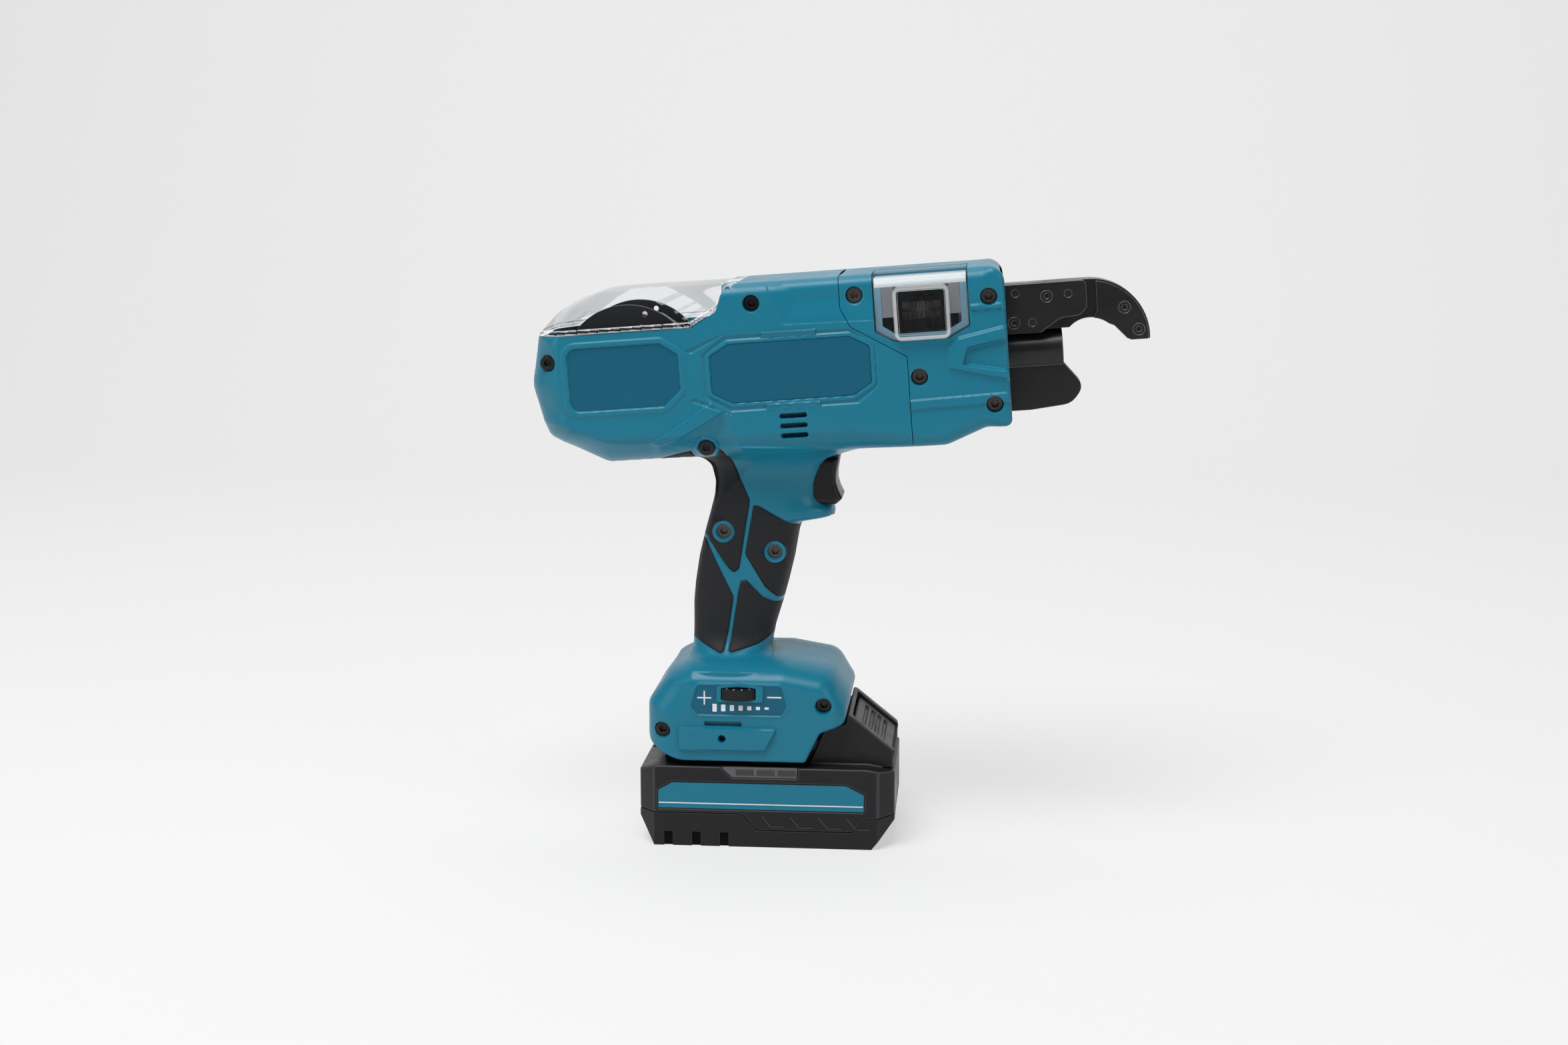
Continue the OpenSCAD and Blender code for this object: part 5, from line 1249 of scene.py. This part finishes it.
@dataclass
class Clear:
    """The clear pieces: the spool's cover and the feed window.

    Attributes:
        dresser: keeps count of the nodes.
        step: the cover's grid step.
        gap: from the housing to the cover.
        lip: how deep the cover's lower rim goes.
        hinge_from: where the CAD cover's hinge begins along the barrel.
        box_face: what stands out further than this is the window's box.
        box_foot: where the box begins.
        box_rim: width of the painted highlight rim on the box.
        sheet: front of the sheets behind the window.
        thick: their thickness.
    """

    dresser: Dresser
    step: float = 0.7
    gap: float = 0.15
    lip: float = 2.2
    hinge_from: float = -17.5
    box_face: float = 39.5
    box_foot: float = 36.3
    box_rim: float = 1.3
    sheet: float = -33.9
    thick: float = 0.3

    def region(self, at: np.ndarray) -> np.ndarray:
        """Returns the signed distance of the cover's region."""
        return np.minimum(BARREL(at), COVER(at) - self.gap)

    @staticmethod
    def dome_half(at: np.ndarray) -> np.ndarray:
        """Returns the cover's half width: a flat side panel that falls away past its crease."""
        inset, most, run = 0.3, 12.0, 9.0
        past = np.maximum(-DOME_PANEL(at), 0)
        return barrel_half(at) - inset - most * (1 - np.exp(-past / run))

    def ends(self, spots: np.ndarray) -> np.ndarray:
        """Returns where the cover's rim ends: a lip along its lower edge, elsewhere the middle."""
        lower = np.abs(COVER(spots[:, :2])) < 0.6
        return np.where(lower, np.maximum(spots[:, 2] - self.lip, 0.1), MIDDLE)

    def dome(self) -> None:
        """Makes the spool's cover from two mirrored sides and the CAD hinge."""
        lip = Feature(DOME_RIM, raised(0.65, 0.4))
        crease = Feature(DOME_PANEL, raised(0.0, 1.0))
        skin = Skin(self.region, self.dome_half, [lip, crease], self.step)
        points, faces, _ = skin.surface((-108.0, 225.0), (-14.0, 256.0), [])
        whole, walls = skirted(points, faces, self.ends, self.region, self.dome_half, no_turn)
        right = upright(whole, -whole[:, 2])
        left = right * (1, -1, 1)
        corners, triangles = triangulated("spool_cover")
        u, _ = along(corners[triangles].mean(axis=1)[:, [0, 2]])
        count = len(right)
        places = np.concatenate([right, left, corners])
        hinge = triangles[u > self.hinge_from] + 2 * count
        faces = np.concatenate([walls, walls[:, ::-1] + count, hinge])
        obj = add_mesh("spool_cover_dome", places, faces, CLEAR, "cover", sharp=24.0)
        obj.data.materials.append(EDGE_HIGHLIGHT.material())
        with edited(obj.data) as form:
            at = np.array([f.calc_center_median() for f in form.faces])[:, [0, 2]] / MM
            lip_in, lower = DOME_RIM(at), COVER(at)
            # Faces of the lip's strip and of the lower edge are milky white: a painted highlight.
            for face, close in zip(form.faces, ((lip_in > 0) & (lip_in < 0.5)) | (lower < 0.65)):
                face.material_index = int(close)
            unused = [v for v in form.verts if not v.link_faces]
            bmesh.ops.delete(form, geom=unused, context="VERTS")
        self.dresser.take("spool_cover", obj)

    def window(self) -> None:
        """Softens the feed window and paints a highlight on the edges of its raised box, in milky white.
        """
        obj = self.dresser.soften("feed_window", 0.9, CLEAR, segments=3)
        obj.data.materials.append(EDGE_HIGHLIGHT.material())
        with edited(obj.data) as form:
            fronts = [f for f in form.faces if f.normal.y < -0.99 and self.depth(f) > self.box_face]
            rims = bmesh.ops.inset_individual(form, faces=fronts, thickness=self.box_rim * MM)["faces"]
            sides = [f for f in form.faces if self.depth(f) > self.box_foot and abs(f.normal.y) < 0.9]
            for face in (*rims, *sides):
                face.material_index = 1

    @staticmethod
    def depth(face: bmesh.types.BMFace) -> float:
        """Returns how far to the right a face's middle lies, in millimetres."""
        return -face.calc_center_median().y / MM

    def layers(self, *loops: Sequence[Sequence[float]]) -> np.ndarray:
        """Returns outlines of the barrel's frame, on the front of a thin sheet and on its back."""
        flat = [np.array(barrel(loop)) for loop in loops]
        faces = (self.sheet, self.sheet + self.thick)
        return np.concatenate([upright(loop, y) for y in faces for loop in flat])

    def backings(self) -> None:
        """Makes the margin, the panel and the top behind the window, and the strip above it. The top is a
        light grey sheet: a painted highlight.
        """
        outer = [(56.5, 10.9), (79.5, 10.9), (88.3, 15.4), (88.3, 33.6), (48.9, 33.6), (48.9, 15.4)]
        inner = [(57.2, 13.4), (78.8, 13.4), (85.4, 17.0), (85.4, 33.5), (51.8, 33.5), (51.8, 17.0)]
        faces = [f for i, j in ((0, 1), (3, 2), (2, 0), (1, 3)) for f in band(i, j, len(outer))]
        points = self.layers(outer, inner)
        margin = add_mesh("window_margin", points, faces, FROST, "housing")
        with edited(margin.data) as form:
            bmesh.ops.recalc_face_normals(form, faces=form.faces)
        panel = [(51.9, 20.6), (51.9, 33.5), (85.3, 33.5), (85.3, 20.6), (80.4, 20.6), (80.4, 33.2),
                 (57.2, 33.2), (57.2, 20.6)]
        n = len(panel)
        faces = [tuple(range(n)), tuple(range(2 * n - 1, n - 1, -1)), *band(1, 0, n)]
        add_mesh("window_panel", self.layers(panel), faces, PANEL, "housing")
        turns = np.radians(np.linspace(0, 90, 10))
        arch = [(-30.0 - 3.9 * math.cos(t), 33.5 + 3.9 * math.sin(t)) for t in turns] + [(-13.6, 37.4)]
        roof = [(-13.5, 36.4), (-13.5, 39.38), (0.03, 39.38)]
        # The first piece is a light grey sheet in the window's top bend: a painted highlight.
        for name, bend, span, finish, slot in (
                ("window_top_highlight", arch, (49.0, 88.2), PALE_HIGHLIGHT, "clear_plastic"),
                ("nose_top_strip", roof, (48.35, 88.85), TEAL, "teal_plastic")):
            points = [(x, y, z) for y, w in bend for x, z in barrel([(u, w) for u in span])]
            add_mesh(name, np.array(points), ladder(len(bend)), finish, "housing")

    def build(self) -> None:
        """Makes the clear pieces and what is behind them."""
        self.dome()
        self.window()
        self.backings()


class Pattern:
    """Geometry Nodes trees for what repeats."""

    mix_a, mix_b, mix_result = 4, 5, 1

    @staticmethod
    def tree(name: str, sockets: dict[str, str]) -> bpy.types.NodeTree:
        """Returns an empty tree with named inputs and a geometry output."""
        made = bpy.data.node_groups.new(name, "GeometryNodeTree")
        for label, kind in sockets.items():
            made.interface.new_socket(label, in_out="INPUT", socket_type=f"NodeSocket{kind}")
        made.interface.new_socket("Geometry", in_out="OUTPUT", socket_type="NodeSocketGeometry")
        return made

    @classmethod
    def row(cls) -> bpy.types.NodeTree:
        """Returns the tree of a row of blocks whose size changes along it."""
        made = cls.tree("row", {
            "Count": "Int", "Start": "Vector", "Step": "Vector", "First Size": "Vector",
            "Last Size": "Vector", "Turn": "Vector", "Finish": "Material"})
        graph = Graph(made)
        given = graph.add("NodeGroupInput").outputs
        line = graph.add("GeometryNodeMeshLine", {
            "Count": given["Count"], "Start Location": given["Start"], "Offset": given["Step"]})
        block = graph.add("GeometryNodeMeshCube")
        last = graph.add("ShaderNodeMath", {0: given["Count"], 1: 1.0}, "SUBTRACT")
        safe = graph.add("ShaderNodeMath", {0: last.outputs["Value"], 1: 1.0}, "MAXIMUM")
        index = graph.add("GeometryNodeInputIndex").outputs["Index"]
        share = graph.add("ShaderNodeMath", {0: index, 1: safe.outputs["Value"]}, "DIVIDE")
        size = graph.add("ShaderNodeMix")
        size.data_type = "VECTOR"
        graph.feed(size, {"Factor": share.outputs["Value"], cls.mix_a: given["First Size"],
                          cls.mix_b: given["Last Size"]})
        place = graph.add("GeometryNodeInstanceOnPoints", {
            "Points": line.outputs["Mesh"], "Instance": block.outputs["Mesh"],
            "Scale": size.outputs[cls.mix_result], "Rotation": given["Turn"]})
        cls.finish(graph, place.outputs["Instances"], given["Finish"])
        return made

    @classmethod
    def circle(cls) -> bpy.types.NodeTree:
        """Returns the tree of blocks that stand round an upright axis."""
        made = cls.tree("circle", {
            "Count": "Int", "Centre": "Vector", "Radius": "Float", "Size": "Vector",
            "Finish": "Material"})
        graph = Graph(made)
        given = graph.add("NodeGroupInput").outputs
        ring = graph.add("GeometryNodeMeshCircle", {
            "Vertices": given["Count"], "Radius": given["Radius"]})
        block = graph.add("GeometryNodeMeshCube", {"Size": given["Size"]})
        spot = graph.add("GeometryNodeInputPosition").outputs["Position"]
        face = graph.add("FunctionNodeAlignEulerToVector", {"Vector": spot})
        face.axis = "X"
        place = graph.add("GeometryNodeInstanceOnPoints", {
            "Points": ring.outputs["Mesh"], "Instance": block.outputs["Mesh"],
            "Rotation": face.outputs["Rotation"]})
        move = graph.add("GeometryNodeTransform", {
            "Geometry": place.outputs["Instances"], "Translation": given["Centre"]})
        cls.finish(graph, move.outputs["Geometry"], given["Finish"])
        return made

    @staticmethod
    def finish(graph: Graph, geometry: Socket, finish: Socket) -> None:
        """Ends a tree: real geometry with its material."""
        real = graph.add("GeometryNodeRealizeInstances", {"Geometry": geometry})
        dyed = graph.add("GeometryNodeSetMaterial", {
            "Geometry": real.outputs["Geometry"], "Material": finish})
        graph.add("NodeGroupOutput", {"Geometry": dyed.outputs["Geometry"]})

    @staticmethod
    def make(name: str, tree: bpy.types.NodeTree, body: str, slot: str, values: Inputs) -> None:
        """Makes a piece from a tree, with plain geometry.

        Args:
            name: the object's name.
            tree: the Geometry Nodes tree.
            body: the CAD body it moves with.
            slot: the record's material slot, not used.
            values: the tree's inputs by name, lengths in metres.
        """
        obj = put(name, bpy.data.meshes.new(name))
        step = obj.modifiers.new("pattern", "NODES")
        step.node_group = tree
        keys = {s.name: s.identifier for s in tree.interface.items_tree if s.in_out == "INPUT"}
        for label, value in values.items():
            step[keys[label]] = value
        made = baked(obj)
        obj.modifiers.clear()
        obj.data = made
        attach(obj, body)


def metres(*values: float) -> tuple[float, ...]:
    """Returns millimetres as metres."""
    return tuple(v * MM for v in values)


@dataclass(frozen=True)
class Row:
    """A row of blocks, in millimetres.

    Attributes:
        name: the piece's name.
        body: the CAD body it moves with.
        slot: the record's material slot.
        finish: its look.
        count: how many blocks.
        start: the first block's middle.
        size: the first block's size.
        step: from block to block.
        last: the last block's size, if it differs.
        turn: the blocks' turn round y, in degrees.
    """

    name: str
    body: str
    slot: str
    finish: Finish
    count: int
    start: tuple[float, float, float]
    size: tuple[float, float, float]
    step: tuple[float, float, float] = (1, 0, 0)
    last: Optional[tuple[float, float, float]] = None
    turn: float = 0.0

    def make(self, tree: bpy.types.NodeTree) -> None:
        """Makes the piece.

        Args:
            tree: the rows' Geometry Nodes tree.
        """
        Pattern.make(self.name, tree, self.body, self.slot, {
            "Count": self.count, "Start": metres(*self.start), "Step": metres(*self.step),
            "First Size": metres(*self.size), "Last Size": metres(*(self.last or self.size)),
            "Turn": (0.0, math.radians(self.turn), 0.0), "Finish": self.finish.material()})


FILM_FACE, LABEL_FACE, CASE_FACE = -36.4, -35.9, -36.0
ROWS = (
    Row("dial_bars", "housing", "label_film", PRINT, 7, (-22.45, FILM_FACE, 63.55), (1.9, 0.06, 3.5),
        (3.84, 0, 0.02), (1.8, 0.06, 1.0)),
    Row("plus_bar", "housing", "label_film", PRINT, 1, (-27, FILM_FACE, 68), (6.2, 0.06, 0.6)),
    Row("plus_post", "housing", "label_film", PRINT, 1, (-27, FILM_FACE, 68), (0.6, 0.07, 6.2)),
    Row("minus_bar", "housing", "label_film", PRINT, 1, (4, FILM_FACE, 68.7), (6.3, 0.06, 0.6)),
    Row("gauge_segments", "battery", "grey_lens", SEGMENT, 3, (-9.2, -36.08, 34.2), (8.0, 0.1, 2.6),
        (9.3, 0, 0)),
    Row("battery_line", "battery", "teal_plastic", PRINT, 1, (-2.2, LABEL_FACE, 19.6), (91, 0.06, 0.5)),
    # The raised chevrons take the lighter rubbed look, which is partly a painted highlight.
    Row("case_chevrons", "battery", "graphite_plastic", RUBBED_HIGHLIGHT, 4, (0.4, CASE_FACE, 11.9),
        (6.4, 0.5, 0.7), (12.6, 0, -0.1), turn=50),
    Row("case_chevron_feet", "battery", "graphite_plastic", RUBBED_HIGHLIGHT, 4, (5.6, CASE_FACE, 9.5),
        (6.2, 0.5, 0.6), (12.6, 0, -0.1)),
    Row("notch_backs", "battery", "graphite_plastic", DEEP, 3, (-43.5, -34.83, 3.2), (3.7, 0.08, 6.4),
        (12.5, 0, 0)),
)


class Prints:
    """The dial's frame and marks, the gauge's segments and the battery's line."""

    centre = np.array([-11.8, 70.2])
    corners = 96
    chamfer = 0.985

    def loop(self, outline: Outline) -> np.ndarray:
        """Returns an outline's points at even turns round the dial's middle."""
        turns = np.linspace(0, 2 * math.pi, self.corners, endpoint=False)
        ways = np.stack([np.cos(turns), np.sin(turns)], axis=1)
        reach, far = np.zeros(len(turns)), np.full(len(turns), 30.0)
        for _ in range(24):
            middle = (reach + far) / 2
            inside = outline(self.centre + ways * middle[:, None]) > 0
            reach, far = np.where(inside, middle, reach), np.where(inside, far, middle)
        return self.centre + ways * reach[:, None]

    def bezel(self) -> None:
        """Makes the raised frame round the dial."""
        inner, outer = self.loop(DIAL_SLOT), self.loop(BEZEL)
        mid = (outer - self.centre) * self.chamfer + self.centre
        rings = [(inner, -33.5), (inner, -37.0), (mid, -37.0), (outer, -36.7), (outer, -35.5)]
        points = np.concatenate([upright(loop, y) for loop, y in rings])
        faces = [f for k in range(len(rings) - 1) for f in band(k + 1, k, self.corners)]
        add_mesh("dial_bezel", points, faces, TEAL, "housing", sharp=30.0)

    def build(self) -> None:
        """Makes the pieces."""
        self.bezel()
        tree = Pattern.row()
        for row in ROWS:
            row.make(tree)
        Pattern.make("dial_marks", Pattern.circle(), "dial", "black_plastic", {
            "Count": 14, "Centre": metres(-12, -30.5, 72.3), "Radius": 7.9 * MM,
            "Size": metres(1.3, 0.5, 0.06), "Finish": PRINT.material()})


LAMPS = (
    ("key", (-0.3, -0.7, 1.6), 1.0, 27.0),
    ("fill", (1.6, -1.1, 0.7), 1.0, 7.0),
    ("side", (-1.7, -0.9, 0.7), 1.0, 5.0),
    ("wall", (0.0, 0.7, 2.2), 1.4, 16.0, (0.0, 1.7, 0.8)),
)


@dataclass
class Studio:
    """Floor, lamps and camera.

    Attributes:
        target: what the camera looks at.
        yaw: the camera's turn towards the tool's front, in degrees.
        rise: its elevation in degrees.
        distance: from the target to the camera.
        lens: focal length.
        sky_colour: the soft light's colour.
        sky_strength: its strength.
        sky_seen: the background's colour where the camera sees it.
    """

    target: tuple[float, float, float] = (0.00514, 0.0, 0.1407)
    yaw: float = 4.9
    rise: float = 9.5
    distance: float = 1.0
    lens: float = 51.0
    sky_colour: Colour = (0.9, 0.92, 0.94)
    sky_strength: float = 0.14
    sky_seen: Colour = (0.84, 0.84, 0.845)

    def floor(self) -> None:
        """Makes the floor and its backdrop in one bent sheet."""
        paper = Finish("paper", (0.83, 0.83, 0.835), 0.9, specular=0.1)
        front, deep, bend, top, wide, steps = -2.2, 1.1, 0.6, 2.8, 3.0, 12
        path = [(front, 0.0), (deep, 0.0)]
        for i in range(1, steps + 1):
            t = i / steps * math.pi / 2
            path.append((deep + bend * math.sin(t), bend * (1 - math.cos(t))))
        path.append((deep + bend, top))
        mesh = bpy.data.meshes.new("floor")
        mesh.from_pydata([(x, y, z) for y, z in path for x in (-wide, wide)], [], ladder(len(path)))
        mesh.polygons.foreach_set("use_smooth", [True] * len(mesh.polygons))
        look = paper.material()
        self.glow(look)
        mesh.materials.append(look)
        put("floor", mesh)

    @staticmethod
    def glow(look: bpy.types.Material, level: float = 0.87, share: float = 0.6) -> None:
        """Evens out the paper where it is seen, straight or in a reflection.

        Args:
            look: the paper's material.
            level: the brightness it is drawn to.
            share: how much of it.
        """
        graph = Graph(look.node_tree)
        path = graph.add("ShaderNodeLightPath").outputs
        seen = path["Is Camera Ray"]
        for ray in ("Is Glossy Ray", "Is Transmission Ray"):
            seen = graph.add("ShaderNodeMath", {0: seen, 1: path[ray]}, "MAXIMUM").outputs["Value"]
        part = graph.add("ShaderNodeMath", {0: seen, 1: share}, "MULTIPLY").outputs["Value"]
        light = graph.add("ShaderNodeEmission", {"Color": opaque((level, level, level))})
        paper = graph.nodes["Principled BSDF"]
        graph.blend(part, paper.outputs["BSDF"], light.outputs["Emission"])

    def lamp(self, name: str, place: tuple[float, float, float], size: float, watts: float,
             at: Optional[tuple[float, float, float]] = None) -> None:
        """Adds a soft square lamp.

        Args:
            name: its name.
            place: where it hangs.
            size: its side.
            watts: its power.
            at: what it looks at, the tool if left out.
        """
        data = bpy.data.lights.new(name, "AREA")
        data.size = size
        data.energy = watts
        obj = put(name, data)
        obj.location = place
        way = Vector(at or self.target) - Vector(place)
        obj.rotation_euler = way.to_track_quat("-Z", "Y").to_euler()

    def sky(self) -> bpy.types.World:
        """Returns a world that lights the tool softly and is seen as pale paper."""
        world = bpy.data.worlds.new("studio")
        world.use_nodes = True
        graph = Graph(world.node_tree)
        soft = graph.nodes["Background"]
        graph.feed(soft, {"Color": opaque(self.sky_colour), "Strength": self.sky_strength})
        seen = graph.add("ShaderNodeBackground", {"Color": opaque(self.sky_seen)})
        ray = graph.add("ShaderNodeLightPath").outputs["Is Camera Ray"]
        graph.blend(ray, soft.outputs["Background"], seen.outputs["Background"], "World Output")
        return world

    def build(self) -> None:
        """Sets up the floor, the lamps, the world and the camera."""
        self.floor()
        for lamp in LAMPS:
            self.lamp(*lamp)
        scene = bpy.context.scene
        scene.world = self.sky()
        scene.view_settings.view_transform = "Standard"
        camera = bpy.data.cameras.new("camera")
        camera.lens = self.lens
        camera.sensor_width = 36.0
        camera.clip_start, camera.clip_end = 0.01, 20.0
        obj = put("camera", camera)
        yaw, rise = math.radians(self.yaw), math.radians(self.rise)
        back = Vector((math.sin(yaw) * math.cos(rise), -math.cos(yaw) * math.cos(rise), math.sin(rise)))
        obj.location = Vector(self.target) + back * self.distance
        obj.rotation_euler = (-back).to_track_quat("-Z", "Y").to_euler()
        scene.camera = obj


def main() -> None:
    """Dresses the tool and lights it."""
    logging.basicConfig(level=logging.INFO)
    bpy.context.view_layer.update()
    dresser = Dresser()
    Shells(dresser).build()
    Mechanics(dresser).build()
    Clear(dresser).build()
    Prints().build()
    dresser.paint_rest()
    Studio().build()
    LOG.info("dressed %d nodes", len(dresser.done))


if __name__ == "__main__":
    main()
